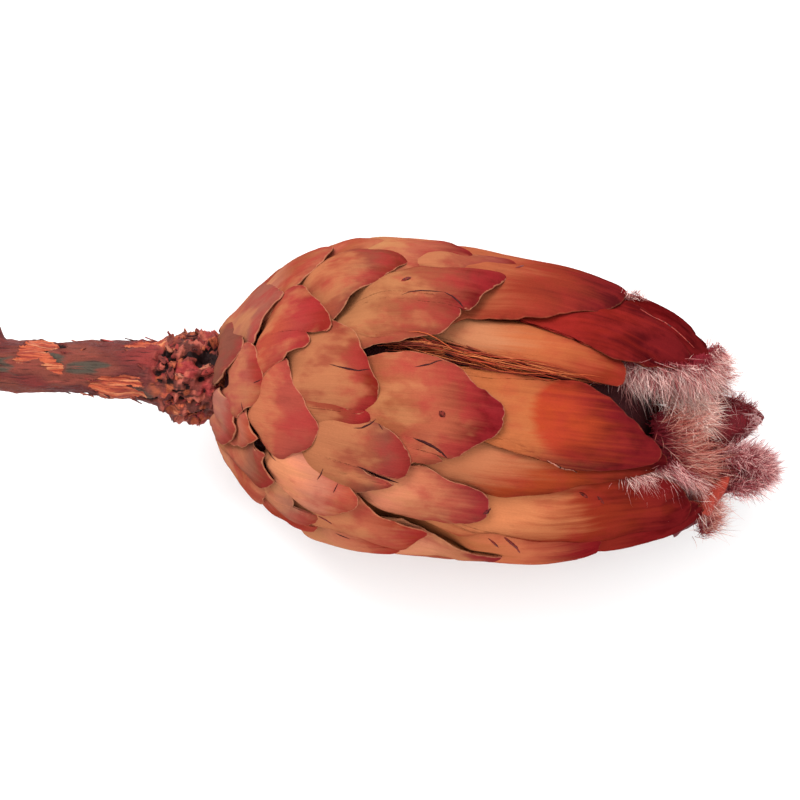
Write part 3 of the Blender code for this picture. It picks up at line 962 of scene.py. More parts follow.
    def raised(self, flat: dict[str, np.ndarray], layers: Layers) -> np.ndarray:
        """The blade's heights, laid on what is under it.

        Args:
            flat: the blade's flat grid.
            layers: what has been laid down so far.

        Returns:
            The heights of its outer face.
        """
        noise = Noise(self.seed + 5)
        arc, angle, edge = flat["arc"], flat["angle"], flat["edge"]
        apex = arc[0].max()
        behind = np.maximum(apex - arc, 0)
        height = -self.depth * (1 - np.exp(-self.slope * behind / self.depth)) - self.deeper
        height = height - self.crown * np.exp(-((edge / self.breadth) ** 1.4))
        spots = np.stack([arc, flat["across"], np.full_like(arc, 3.0 * self.seed)], axis=-1)
        height += 0.3 * noise.at(spots, (11.0, 7.0, 1.0))
        height += 0.1 * noise.at(spots + 60, (8.0, 2.8, 1.0))
        height += 0.04 * noise.at(spots + 20, (9.0, 1.0, 1.0))
        height += 0.26 * noise.at(spots + 30, (4.6, 4.6, 1.0)) * np.exp(-edge / 2.2)
        below = layers.under(arc, angle)
        known = smooth_step(below, layers.empty + 1.0, layers.empty + 3.0)
        wave = 0.5 + 0.5 * noise.at(spots + 75, (8.0, 8.0, 1.0))
        floor = below + self.gap * (0.55 + 1.3 * wave) + 0.32
        hug = np.exp(-((edge / 4.5) ** 1.4)) * known
        height = height * (1 - hug) + np.minimum(height, floor + 0.25) * hug
        target = floor + self.bulge * (1 - np.exp(-((edge / self.breadth) ** 1.4)))
        root = smooth_step(flat["row_share"], 1.0, 0.72)
        need = np.maximum(target - height, 0) * known * root
        need = np.minimum(need, 5.0)
        height = height + layers.lifted(arc, angle, need)
        layers.lay(arc, angle, height)
        return height

    def lay(self, form: HeadForm, layers: Layers) -> tuple[dict[str, np.ndarray], np.ndarray]:
        """Fans the blade out and lays it on what is under it.

        Args:
            form: the head's form.
            layers: what has been laid down so far.

        Returns:
            Its flat grid and its heights.
        """
        flat = self.sheet(form)
        return flat, self.raised(flat, layers)

    def build(
        self, form: HeadForm, flat: dict[str, np.ndarray], height: np.ndarray, bag: MeshBag
    ) -> None:
        """Makes the blade as one closed shell.

        Args:
            form: the head's form.
            flat: the blade's flat grid.
            height: its heights.
            bag: where the mesh goes.
        """
        rows, columns = height.shape
        kept = sorted({0, 3, 6, *range(8, rows, 3), rows - 1})
        edge = flat["edge"]
        body = 0.26 + (self.thick - 0.26) * smooth_step(edge, 0.0, 3.0)
        outer = form.place(flat["arc"], flat["angle"], height)
        inner = form.place(flat["arc"][kept], flat["angle"][kept], (height - body)[kept])
        ids = np.arange(rows * columns).reshape(rows, columns)
        low = rows * columns + np.arange(len(kept) * columns).reshape(len(kept), columns)
        quads = [
            np.stack([ids[:-1, :-1], ids[:-1, 1:], ids[1:, 1:], ids[1:, :-1]], axis=-1),
            np.stack([low[:-1, :-1], low[1:, :-1], low[1:, 1:], low[:-1, 1:]], axis=-1),
            np.stack([ids[0, 1:], ids[0, :-1], low[0, :-1], low[0, 1:]], axis=-1)[None],
            np.stack([ids[-1, :-1], ids[-1, 1:], low[-1, 1:], low[-1, :-1]], axis=-1)[None],
        ]
        quads = np.vstack([q.reshape(-1, 4) for q in quads])
        faces = np.vstack([quads[:, [0, 1, 2]], quads[:, [0, 2, 3]]])
        sides = []
        for column, turn in ((0, 1), (columns - 1, -1)):
            for k, (start, end) in enumerate(zip(kept, kept[1:])):
                fan = [(ids[j, column], ids[j + 1, column], low[k, column]) for j in range(start, end)]
                fan.append((ids[end, column], low[k + 1, column], low[k, column]))
                sides += [f[::turn] for f in fan]
        faces = np.vstack([faces, np.array(sides)])
        a, b, c = (outer.reshape(-1, 3)[ids[k]] for k in ((rows // 2, 2), (rows // 2, 3), (rows // 2 - 1, 2)))
        away = outer[rows // 2, 2] - np.array([outer[rows // 2, 2][0], 0, AXIS_HEIGHT])
        if np.dot(np.cross(b - a, c - a), away) < 0:
            faces = faces[:, ::-1]
        bag.add(
            np.vstack([outer.reshape(-1, 3), inner.reshape(-1, 3)]),
            faces[:, ::-1],
            **self.surface(flat, kept),
        )

    def surface(self, flat: dict[str, np.ndarray], kept: list[int]) -> dict[str, np.ndarray]:
        """What the blade's finish reads at each vertex.

        Args:
            flat: the blade's flat grid.
            kept: the rows that its inner face has.

        Returns:
            Arrays by attribute name, the outer face's vertices first.
        """
        arc = flat["arc"]
        apex = arc[0].max()
        span = self.fade or max(apex - min(m[0] for m in self.margin), 9.0)
        reach = 1 - (0.65 * (apex - arc) + 0.35 * flat["inward"]) / span
        grain = np.stack([flat["across"], arc, np.full_like(arc, self.seed % 97)], axis=-1)
        flame = np.zeros_like(arc)
        if self.flame:
            away = np.hypot(np.minimum(arc - self.flame[0], 0), flat["across"])
            flame = smooth_step(away, self.flame[1] + 0.7, self.flame[1] - 0.7)
        values = {"reach": reach, "edge": flat["edge"], "grain": grain, "flame": flame}
        made = {}
        for key, data in values.items():
            tail = data.shape[2:]
            made[key] = np.concatenate([data.reshape(-1, *tail), data[kept].reshape(-1, *tail)])
        count = len(made["reach"])
        made["mark"] = np.zeros(count)
        # The shade factor is partly the bract's own tone and partly painted light that lifts bracts lying in
        # shade.
        cast = self.shade * np.array([1.0, 1 - self.blush, 1 - self.blush])
        redder = 1 - made.pop("flame")[:, None] * np.array([0.08, 0.56, 0.58])
        for key in ("base", "middle", "tip"):
            made[f"tint_{key}"] = np.tile(getattr(self.skin.value, key) * cast, (count, 1))
            made[f"tint_{key}"] *= redder if key != "tip" else 1.0
        return made


# Each shade= below is partly the bract's own tone and partly painted light that lifts bracts lying in shade.
FRONT_BRACTS = (  # outermost first; each margin runs from the +Y side over its apex
    Bract("s_b3", Kind.SCALE, Skin.SALMON, (
        (10.2, 62), (12.1, 40), (13.5, 28), (13.2, 21), (10.6, 15), (8.4, 9), (7.2, 2),
    ), gap=0.6, shade=0.61, blush=-0.1),
    Bract("s_b1", Kind.SCALE, Skin.DUSTY, (
        (10.8, -12), (12.3, -18), (12.9, -25), (14.3, -30), (13, -38), (10, -55), (7.9, -55),
        (5.9, -47),
    ), shade=0.97, blush=-0.1),
    Bract("s_b2", Kind.SCALE, Skin.DUSTY, (
        (15.9, 26), (17.4, 21), (19, 12), (20.3, 5), (20.9, -1), (20.3, -6), (18.2, -11),
        (15.9, -16), (12.9, -24), (11.2, -21),
    ), shade=0.94, blush=0.34),
    Bract("s_b9", Kind.SCALE, Skin.TAN, (
        (15.4, -12), (16.6, -17), (18.4, -23), (20.7, -28), (19.7, -31), (17.9, -34), (15.1, -41),
        (12.4, -48),
    ), shade=1.3, blush=0.1),
    Bract("s_b16", Kind.SCALE, Skin.TAN, (
        (18.3, -34), (19.9, -36), (22.4, -34), (22.3, -39), (24, -43), (25.9, -47), (23.9, -53),
        (22.1, -58), (18.4, -55), (14.6, -58), (12.1, -60),
    ), shade=0.81, blush=-0.02),
    Bract("s_b4", Kind.SCALE, Skin.SALMON, (
        (9, 108), (13, 98), (15.5, 90), (17.8, 85), (20.8, 60), (23.6, 47), (23.3, 45), (21.2, 42),
        (19.2, 39), (17.6, 33), (16.2, 27), (14.2, 21),
    ), shade=0.93, blush=-0.1),
    Bract("s_b5", Kind.SCALE, Skin.ROSE, (
        (12, 128), (17, 122), (21, 112), (23.2, 100), (22.5, 90), (20.9, 88), (19.9, 80),
        (18.8, 74), (16.8, 70), (13.9, 66),
    ), shade=0.81, blush=0.03),
    Bract("s_b6", Kind.SCALE, Skin.ROSE, (
        (17, 118), (22, 106), (26.6, 90), (30.5, 83), (33, 80), (33.9, 71), (31.9, 63), (29.6, 56),
        (27.1, 51), (23.9, 47),
    ), gap=0.8, shade=1.03, blush=-0.1),
    Bract("s_b17a", Kind.SCALE, Skin.ROSE, (
        (9.2, -63), (12.1, -61), (14.6, -59), (18.4, -56), (22.4, -58), (23.5, -60), (22.6, -79),
        (21.5, -90), (18, -102), (12, -110),
    ), shade=1.43, blush=-0.1),
    Bract("s_b17b", Kind.BRACT, Skin.TAN, (
        (23.4, -54), (25.6, -49), (27.9, -52), (30.4, -56), (30, -60), (32.4, -60), (36.2, -58),
        (35.9, -63), (33.1, -71), (30.3, -72), (27.1, -70), (23.5, -67),
    ), shade=1.15, blush=-0.1),
    Bract("s_b17c", Kind.SCALE, Skin.ROSE, (
        (23.5, -67), (27.1, -71), (30.3, -73), (33.1, -72), (35.9, -71), (34.7, -77), (32.5, -80),
        (29.1, -86), (25.5, -96),
    ), shade=1.2, blush=0.37),
    Bract("s_b7", Kind.SCALE, Skin.RUSTY, (
        (25.1, 52), (27.1, 50), (29.3, 44), (31.5, 38), (33.1, 33), (34.3, 29), (35.3, 25),
        (34.5, 22), (31.6, 22), (29.3, 24), (30.4, 22), (31.2, 19), (29.4, 16), (27.4, 15),
        (25.5, 12), (23, 10), (20.5, 6),
    ), gap=0.5, shade=0.93, blush=0.32),
    Bract("s_b8", Kind.SCALE, Skin.SALMON, (
        (25.7, 12), (27.7, 5), (29.3, -1), (30.5, -4), (32.4, -9), (34, -12), (34.7, -15),
        (34.3, -19), (33.1, -23), (31.7, -26), (29.8, -28), (28.2, -31), (26.7, -34), (25.2, -32),
        (23.3, -29),
    ), shade=1.1, blush=0.38),
    Bract("m_b12", Kind.BRACT, Skin.PEACH, (
        (36.7, 26), (38.6, 24), (39.9, 22), (41.3, 19), (41.9, 16), (42.9, 13), (44, 9), (45.1, 6),
        (45.9, 2), (45.9, -2), (45.5, -4), (44.3, -6), (42.4, -8), (40.5, -9), (38.6, -10),
        (36.7, -13), (34.7, -15),
    ), shade=0.68, blush=0.26),
    Bract("m_b12f", Kind.BRACT, Skin.PEACH, (
        (41.2, -8), (43.1, -7), (44.8, -5), (45.4, -7), (44.8, -10), (43.3, -12), (41.1, -14),
        (38.7, -14), (35.6, -15),
    ), shade=0.6, blush=0.38),
    Bract("m_b14", Kind.BRACT, Skin.TAN, (
        (32.3, -25), (34.3, -29), (36.9, -32), (39.5, -35), (42, -37), (43.6, -40), (43.8, -44),
        (41.7, -49), (39, -54), (36.2, -58), (33.2, -57), (30.6, -55), (27.8, -51), (25.9, -48),
    ), gap=0.9, shade=1.6, blush=-0.05),
    Bract("m_b10", Kind.BRACT, Skin.ROSE, (
        (24, 122), (31, 112), (36, 102), (39, 90), (44.1, 80), (47.1, 78), (45.6, 71), (42.3, 69),
        (37.8, 69), (34.4, 67), (31.9, 62), (30, 57), (27.7, 52), (24.4, 47),
    ), shade=1.14, blush=-0.1),
    Bract("m_b11", Kind.BRACT, Skin.TAN, (
        (41.3, 69), (44.9, 69), (47.7, 65), (49.7, 58), (47.6, 54), (45.4, 50), (43.6, 45),
        (41.4, 42), (39.4, 40), (37.6, 36), (35.8, 32), (34.3, 29),
    ), gap=0.8, shade=0.69, blush=0.32),
    Bract("m_b15", Kind.BRACT, Skin.TAN, (
        (45.2, -9), (47.9, -11), (50.2, -14), (52.1, -18), (53.5, -22), (53.7, -25), (52.4, -28),
        (51.2, -30), (48.4, -29), (45.7, -28), (43.1, -27), (45.7, -29.6), (48.5, -30.8),
        (51.2, -32), (49, -34), (46.4, -36), (43.8, -39),
    ), shade=0.66, blush=0.24),
    Bract("m_b21", Kind.BRACT, Skin.PEACH, (
        (43.8, -44), (46, -47), (48.8, -50), (51.7, -52), (54.4, -54), (56.8, -55), (58.3, -58),
        (57.4, -62), (55.2, -66), (52.9, -72), (48.9, -71), (45.9, -68), (42.9, -67), (40.3, -64),
    ), gap=0.9, shade=1.17, blush=0.14),
    Bract("m_b22", Kind.BRACT, Skin.PEACH, (
        (41.9, -65), (44.9, -68), (47.9, -70), (50.9, -72), (53.3, -71), (52.6, -78), (50.1, -84),
        (47, -92), (42, -104), (36, -112),
    ), shade=1.37, blush=-0.1),
    Bract("m_b18", Kind.BRACT, Skin.RED, (
        (40, 118), (48, 108), (53.1, 94), (58.1, 82), (61.1, 75), (63.1, 70), (60.2, 66),
        (56.3, 61), (52.4, 58), (49.4, 54),
    ), shade=1.06, blush=-0.05),
    Bract("m_b13", Kind.BRACT, Skin.RED, (
        (46.6, 55), (50.4, 58), (55.4, 56), (61.2, 59), (65.2, 61), (68, 62), (69.4, 60),
        (68.7, 55), (67, 50), (65.1, 46), (63.5, 41), (62.2, 37), (61.3, 36), (60, 39), (58.2, 41),
        (56, 41), (53.9, 41), (56.6, 40), (58.4, 38.4), (59.7, 37), (60.5, 35), (59.7, 32),
        (58.3, 29), (56.4, 26), (53.7, 24), (50.9, 22), (48.1, 20), (45.3, 19), (41.8, 17),
    ), shade=0.78, blush=0.17),
    Bract("m_b13u", Kind.BRACT, Skin.RUSTY, (
        (61.1, 70), (65.1, 73), (68.1, 75), (70.4, 77), (71.1, 72), (69.6, 67), (67.2, 64),
        (63.2, 61),
    ), shade=0.8, blush=0.05),
    Bract("m_b19", Kind.BRACT, Skin.MAROON, (
        (42, 14), (45.4, 16), (49.2, 17), (53, 17), (56.1, 16), (58.9, 14), (60.5, 13), (62, 11),
        (63.7, 8), (65.7, 7), (67.8, 4), (69.4, 3), (70.5, 0), (70.7, -4), (70.1, -8), (68.9, -10),
        (67.1, -12), (65.8, -14), (64, -17), (62.2, -19), (60.5, -21), (58.1, -18), (55.7, -16),
        (53.3, -14), (55.5, -17), (57.8, -19.6), (60, -22), (58.2, -24), (56.1, -25), (54.3, -23),
    ), gap=0.5, shade=0.96, blush=0.12),
    Bract("m_b20", Kind.BRACT, Skin.BRICK, (
        (52.4, -28), (55.2, -25), (57.6, -27), (60.2, -29), (62.2, -30), (64, -31), (66.2, -32),
        (68.2, -33), (69.3, -36), (69.7, -40), (69.1, -44), (67.5, -46), (65.2, -48), (62.1, -50),
        (59.2, -51), (56.3, -51), (52.7, -49), (49.3, -47), (45.9, -44),
    ), shade=1.25, blush=0.09),
    Bract("m_b23", Kind.BRACT, Skin.BRICK, (
        (57.6, -61), (61.6, -65), (65.7, -69), (69.8, -73), (73.4, -75), (72, -80), (69, -79),
        (65, -83), (61, -79),
    ), shade=1.21, blush=-0.01),
    Bract("i_b25", Kind.LONG, Skin.ORANGE, (
        (60.9, 15), (66.7, 16), (70.6, 16), (74.5, 16), (77.4, 16), (80.4, 15), (83.3, 16),
        (86.3, 16), (88.4, 15), (90.5, 13), (92.5, 10), (94.7, 7), (97.2, 2), (99.5, -3),
        (101.6, -7), (103.3, -11), (103.7, -14), (102.3, -18), (99.9, -19), (96.2, -21),
        (92.2, -21), (88.1, -21), (84.9, -21), (82.1, -20), (79.8, -18), (78.2, -16), (76.3, -13),
        (74, -12), (72, -11), (70.7, -8),
    ), gap=0.5, flame=(85.0, 9.0), fade=54.0, shade=0.89, blush=0.06),
    Bract("i_b26", Kind.LONG, Skin.AMBER, (
        (70, 2), (89.5, -8), (97.8, -9), (103.2, -12), (105.8, -17), (104.3, -22), (101.6, -24),
        (98.6, -26), (94.5, -27), (90.5, -29), (86.6, -30), (82.7, -32), (78.9, -34), (75, -35),
        (72.1, -36), (69.2, -36), (66.3, -35), (63.6, -33),
    ), shade=0.87, blush=-0.08),
    Bract("i_b27", Kind.LONG, Skin.CRIMSON, (
        (74, -22), (82.6, -28), (90.4, -26), (98.5, -26), (105, -27), (109.3, -35), (111.9, -48),
        (111.7, -58), (109.3, -64), (106.2, -65), (102.6, -64), (98.4, -64), (94.2, -62),
        (90.1, -60), (84, -58), (78, -57), (73, -55), (69, -53),
    ), shade=0.96, blush=0.0),
    Bract("i_b24", Kind.LONG, Skin.MAROON, (
        (58, -50), (71.9, -50), (77.8, -52), (83.9, -54), (88.9, -56), (92.6, -60), (93.2, -66),
        (92.8, -76), (91.9, -88), (88.5, -102), (80, -112), (68, -118),
    ), shade=1.45, blush=-0.08),
    Bract("i_b30", Kind.LONG, Skin.EMBER, (
        (70, 128), (80, 122), (88, 112), (92, 100), (93.8, 85), (93.4, 70), (92.4, 60), (89.9, 53),
        (87, 48), (83.4, 45), (79.4, 42), (76.5, 39), (73.6, 39), (69.7, 38), (65.8, 37),
        (61.3, 36),
    ), shade=0.82, blush=0.0),
    Bract("i_b31", Kind.LONG, Skin.DEEP, (
        (91.7, 71), (94.9, 70), (98.1, 64), (100.3, 60), (102.5, 58), (104.7, 55), (106.9, 50),
        (108.8, 46), (107.9, 39), (104.4, 34), (100, 32), (95.8, 30), (92, 28), (88.9, 29),
        (86.2, 32), (83.3, 33), (79.6, 35), (76.6, 38), (73.4, 41), (70, 44),
    ), flank=0.0, fade=56.0, shade=0.78, blush=-0.06),
    Bract("i_b32", Kind.LONG, Skin.WINE, (
        (86, 130), (97, 124), (106, 116), (111, 104), (113.2, 90), (113.5, 75), (113.7, 64),
        (112.1, 53), (109.7, 47), (107.4, 45), (100, 40),
    ), shade=0.64, blush=0.1),
    Bract("i_b28", Kind.LONG, Skin.WINE, (
        (92, -44), (100, -50), (107.5, -49), (112.5, -48), (116, -61), (117.5, -85), (115, -108),
        (109, -118), (97, -122),
    ), shade=0.98, blush=0.02),
    Bract("i_b29", Kind.LONG, Skin.GOLD, (
        (61, 52), (75, 54), (87, 47), (92.5, 38), (95.3, 26), (94.4, 17), (90.5, 17), (85.3, 18.4),
        (80.3, 19), (76.3, 20), (72.4, 21), (68.5, 22), (65.5, 24), (62.5, 25.5), (58.5, 27),
    ), flank=0.0, deeper=1.2, shade=0.84, blush=0.0),
)


@dataclass(frozen=True)
class Ring:
    """A ring of bracts behind the ones that the photograph shows."""

    apex: float
    first: float
    step: float
    count: int
    width: float
    length: float
    kind: Kind


HIDDEN_RINGS = (
    Ring(4.6, 128, 46, 3, 13, 8, Kind.SCALE),
    Ring(11.5, 121, 38, 4, 19, 12, Kind.SCALE),
    Ring(22.5, 113, 42, 4, 24, 18, Kind.SCALE),
    Ring(34.0, 132, 45, 3, 27, 22, Kind.SCALE),
    Ring(47.0, 140, 43, 3, 24, 26, Kind.BRACT),
    Ring(60.5, 126, 43, 4, 24, 34, Kind.BRACT),
    Ring(81.5, 116, 43, 4, 25, 53, Kind.LONG),
    Ring(95.0, 101, 49, 4, 23, 67, Kind.LONG),
    Ring(103.0, 137, 46, 3, 17, 75, Kind.LONG),
)
ORDER_ARCS = (8.0, 12.0, 16.0, 23.0, 34.0, 45.0, 53.0, 60.0, 70.0, 93.0, 103.0, 113.0, 125.0)
ORDER_PLACES = (-1.0, 0.5, 3.5, 7.5, 11.5, 15.5, 20.5, 22.5, 25.5, 31.5, 32.5, 36.5, 38.5)


@dataclass
class FlowerHead:
    """The closed head: bracts laid one over another, from the innermost to the outermost."""

    form: HeadForm
    layers: Layers = field(default_factory=Layers)
    seed: int = 31

    def hidden(self) -> list[tuple[float, Bract]]:
        """The bracts of the unseen side, by a seeded rule.

        Returns:
            Pairs of a place in the order, outermost first, and a bract.
        """
        rng = np.random.default_rng(self.seed)
        made = []
        skins = {
            Kind.SCALE: (Skin.DUSTY, Skin.SALMON, Skin.ROSE, Skin.SALMON),
            Kind.BRACT: (Skin.PEACH, Skin.ROSE, Skin.RED, Skin.MAROON),
            Kind.LONG: (Skin.ORANGE, Skin.CRIMSON, Skin.EMBER, Skin.CRIMSON),
        }
        for ring in HIDDEN_RINGS:
            for k in range(ring.count):
                angle = ring.first + ring.step * k + rng.uniform(-4, 4)
                arc = self.form.arc_at(ring.apex + rng.uniform(-1.5, 1.5) * min(ring.apex / 20, 1))
                margin = self.margin(arc, angle, ring, rng)
                skin = skins[ring.kind][int(rng.integers(4))]
                name = f"back_{int(ring.apex)}_{k}"
                bract = Bract(name, ring.kind, skin, margin, step=1.15, back=ring.length * 0.4)
                made.append((float(np.interp(arc, ORDER_ARCS, ORDER_PLACES)) + 0.01 * k, bract))
        return made

    def margin(
        self, arc: float, angle: float, ring: Ring, rng: np.random.Generator
    ) -> tuple[tuple[float, float], ...]:
        """A rounded margin with an uneven apex and a notch or two.

        Args:
            arc: the apex's arc length.
            angle: the apex's angle.
            ring: the ring that the bract is of.
            rng: where its unevenness comes from.

        Returns:
            The margin's points.
        """
        depth = 0.62 * ring.length
        lean = rng.uniform(-0.16, 0.16)
        notch = rng.uniform(-0.7, 0.7)
        cut = rng.uniform(0.6, 2.0)
        points = []
        for t in np.linspace(-1, 1, 19):
            turn = t * math.pi / 2
            back = depth * (1 - abs(math.cos(turn)) ** 0.8) + rng.uniform(-0.35, 0.35)
            back += cut * math.exp(-(((t - notch) / 0.07) ** 2))
            across = -0.5 * ring.width * math.sin(turn) * (1 + lean * t)
            radius = max(float(self.form.radius(np.array(max(arc - back, 5.0)))), 4.0)
            points.append((max(arc - back, 4.6), angle + math.degrees(across / radius)))
        return tuple(points)

    def build(self) -> tuple[MeshBag, MeshBag]:
        """Lays every bract.

        Returns:
            The outer ring's mesh and the inner ring's.
        """
        order = [(float(k), bract) for k, bract in enumerate(FRONT_BRACTS)] + self.hidden()
        outer, inner = MeshBag(), MeshBag()
        laid = []
        for _, bract in sorted(order, key=lambda pair: -pair[0]):
            laid.append((bract, *bract.lay(self.form, self.layers)))
        excess = self.layers.excess()
        for bract, flat, height in laid:
            height = height - self.layers.trimmed(excess, flat["arc"], flat["angle"])
            bract.build(self.form, flat, height, inner if bract.kind is Kind.LONG else outer)
        return outer, inner


def tubes(paths: np.ndarray, radii: np.ndarray, sides: int = 3) -> tuple[np.ndarray, np.ndarray]:
    """Tapered tubes along many paths at once, each ending in a point.

    Args:
        paths: points of every path, as (path, point, 3).
        radii: the radius at every point, as (path, point); the last is taken as a tip.
        sides: how many sides a tube has.

    Returns:
        The vertices, a ring of sides at every point and one tip for each path, and the triangles.
    """
    many, rings = paths.shape[0], paths.shape[1]
    way = np.gradient(paths, axis=1)
    way /= np.linalg.norm(way, axis=2, keepdims=True) + 1e-9
    helper = np.where(np.abs(way[..., 2:3]) > 0.9, np.array([1.0, 0, 0]), np.array([0, 0, 1.0]))
    one = np.cross(way, helper)
    one /= np.linalg.norm(one, axis=2, keepdims=True) + 1e-9
    two = np.cross(way, one)
    turn = np.arange(sides) * 2 * math.pi / sides
    ring = (
        one[:, :-1, None] * np.cos(turn)[None, None, :, None]
        + two[:, :-1, None] * np.sin(turn)[None, None, :, None]
    )
    body = paths[:, :-1, None] + ring * radii[:, :-1, None, None]
    each = (rings - 1) * sides + 1
    verts = np.concatenate([body.reshape(many, -1, 3), paths[:, -1:]], axis=1)
    faces = []
    for k in range(rings - 2):
        for s in range(sides):
            a, b = k * sides + s, k * sides + (s + 1) % sides
            faces += [(a, a + sides, b), (b, a + sides, b + sides)]
    last = (rings - 2) * sides
    faces += [(last + s, each - 1, last + (s + 1) % sides) for s in range(sides)]
    faces += [(0, s, s + 1) for s in range(1, sides - 1)]
    offsets = np.arange(many)[:, None, None] * each
    return verts.reshape(-1, 3), (np.array(faces)[None] + offsets).reshape(-1, 3)


@dataclass
class Hairs:
    """Gathers fine hairs into one piece."""

    bag: MeshBag = field(default_factory=MeshBag)

    def add(
        self, paths: np.ndarray, thick: np.ndarray, tints: np.ndarray, shade: np.ndarray
    ) -> None:
        """Adds hairs.

        Args:
            paths: their points in the part's frame, as (hair, point, 3).
            thick: each hair's radius at its root.
            tints: each hair's colour.
            shade: how dark each root is, 0 for dark and 1 for none.
        """
        many, rings = paths.shape[:2]
        along = np.linspace(0, 1, rings)
        taper = 1 - 0.75 * along**1.5
        verts, faces = tubes(paths, thick[:, None] * taper[None])
        ring_share = np.concatenate([np.repeat(along[:-1], 3), [1.0]])
        reach = shade[:, None] + (1 - shade[:, None]) * ring_share[None]
        self.bag.add(
            verts,
            faces,
            reach=reach.reshape(-1),
            grain=verts,
            tint_tip=np.repeat(tints, len(ring_share), axis=0),
        )


@dataclass(frozen=True)
class Patch:
    """A patch of hair, placed as the photograph shows it: a line of roots and a way to hang.

    Lengths and places across the picture are in its pixels, heights in millimetres over the axis.
    """

    line: tuple[tuple[float, float, float], ...]
    spread: tuple[float, float]
    way: tuple[float, float, float]
    length: tuple[float, float]
    count: int
    tints: tuple[tuple[float, float, float], ...]
    fan: float = 0.35
    fall: tuple[float, float, float] = (0.0, 0.0, 0.0)
    curl: float = 0.18
    radius: float = 0.07
    root: float = 0.0


MAUVE = (tone(238, 188, 178), tone(208, 140, 134), tone(250, 218, 208), tone(146, 58, 64))
CREAM = (tone(255, 236, 224), tone(246, 210, 196), tone(226, 170, 156), tone(190, 110, 104))
PINK = (tone(212, 138, 120), tone(190, 100, 86), tone(224, 172, 154), tone(142, 48, 46))
SMOKE = (tone(168, 84, 88), tone(208, 138, 136), tone(122, 40, 48), tone(240, 190, 184))
HALO = (tone(232, 200, 196), tone(216, 170, 168), tone(196, 134, 134))
CRIMSON_HAIR = (tone(116, 22, 30), tone(140, 38, 42), tone(84, 16, 26), tone(184, 136, 134))

FRONT_PATCHES = (
    Patch(
        ((612, 362, 15), (630, 357, 16.5), (660, 359, 16), (690, 362, 14), (706, 356, 12)),
        (5, 3), (0.1, 1.0, -0.08), (20, 46), 3300, MAUVE, 0.36, (0.12, 0.05, -3.0), 0.26, 0.062, 0.0,
    ),
    Patch(
        ((602, 354, 16.5), (611, 360, 16.5), (622, 362, 16), (634, 360, 16)),
        (4, 3), (-0.4, 1.0, -0.05), (16, 30), 1000, MAUVE, 0.3, (-0.15, 0.0, -2.5), 0.2, 0.062, 0.2,
    ),
    Patch(
        ((600, 308, 7), (612, 304, 6.5), (624, 299, 6), (634, 296, 5), (642, 300, 5)),
        (5, 3), (0.6, -0.1, 0.2), (5, 12), 300, MAUVE, 0.8, (0.0, 0.0, 0.0), 0.2, 0.055, 0.2,
    ),
    Patch(
        ((700, 352, 6), (710, 352, 5.5), (718, 348, 4)),
        (4, 4), (0.5, 0.9, 0.1), (10, 26), 800, MAUVE, 0.4, (0.0, 0.1, -1.0), 0.2, 0.062, 0.1,
    ),
    Patch(
        ((668, 400, 8), (688, 392, 8), (698, 404, 7.5), (700, 420, 7), (680, 416, 8)),
        (9, 8), (0.75, 0.25, 0.12), (12, 26), 2400, CREAM, 0.55, (0.0, 0.1, -2.0), 0.3, 0.062, 0.5,
    ),
    Patch(
        ((658, 420, 9), (662, 436, 10), (668, 452, 10), (674, 464, 9), (690, 470, 7)),
        (7, 7), (1.0, 0.0, 0.0), (20, 50), 2500, PINK, 0.34, (0.1, -0.04, -2.0), 0.2, 0.062, 0.0,
    ),
    Patch(
        ((622, 473, 20), (640, 471, 19), (660, 467, 16.5), (686, 474, 10), (698, 480, 7)),
        (6, 2), (0.1, 1.0, 0.15), (8, 22), 2200, MAUVE, 0.55, (0.15, 0.1, -1.6), 0.25, 0.06, 0.1,
    ),
    Patch(
        ((656, 466, 15), (676, 464, 13)),
        (6, 3), (0.6, 1.0, 0.35), (20, 44), 120, SMOKE, 0.22, (0.1, 0.1, -1.5), 0.12, 0.075, 0.5,
    ),
    Patch(
        ((727, 402, 2.5), (740, 405, 3), (752, 412, 3.5), (744, 430, 3), (730, 436, 2.5)),
        (3, 3), (0.9, -0.3, 0.2), (6, 17), 700, CRIMSON_HAIR, 0.7, (0.0, 0.0, 0.0), 0.2, 0.055, 0.3,
    ),
    Patch(
        ((754, 414, 3.5), (760, 420, 3.5), (754, 430, 3)),
        (2, 3), (0.7, 0.5, 0.3), (6, 13), 110, HALO, 0.6, (-0.4, 0.0, 0.0), 0.3, 0.055, 0.5,
    ),
    Patch(
        ((722, 456, 4), (740, 456, 5), (754, 460, 5), (762, 470, 4), (752, 484, 3), (732, 488, 3)),
        (7, 7), (0.75, -0.2, 0.25), (8, 20), 3000, SMOKE, 0.6, (0.1, 0.0, 0.0), 0.25, 0.062, 0.15,
    ),
    Patch(
        ((734, 450, 4), (750, 452, 4.5), (762, 460, 4), (768, 470, 3), (762, 482, 2)),
        (4, 4), (0.7, -0.3, 0.1), (8, 18), 1100, HALO, 0.6, (0.1, 0.05, 0.0), 0.25, 0.055, 0.4,
    ),
    Patch(
        ((690, 496, 2), (700, 508, 0), (704, 518, -3), (702, 530, -6)),
        (6, 6), (0.95, -0.25, 0.2), (10, 28), 1300, PINK, 0.4, (0.0, 0.0, 0.0), 0.2, 0.06, 0.1,
    ),
    Patch(
        ((700, 516, -3), (704, 524, -5), (702, 532, -7)),
        (5, 5), (0.9, 0.15, 0.2), (5, 12), 260, CRIMSON_HAIR, 0.6, (0.0, 0.0, 0.0), 0.2, 0.055, 0.2,
    ),
)


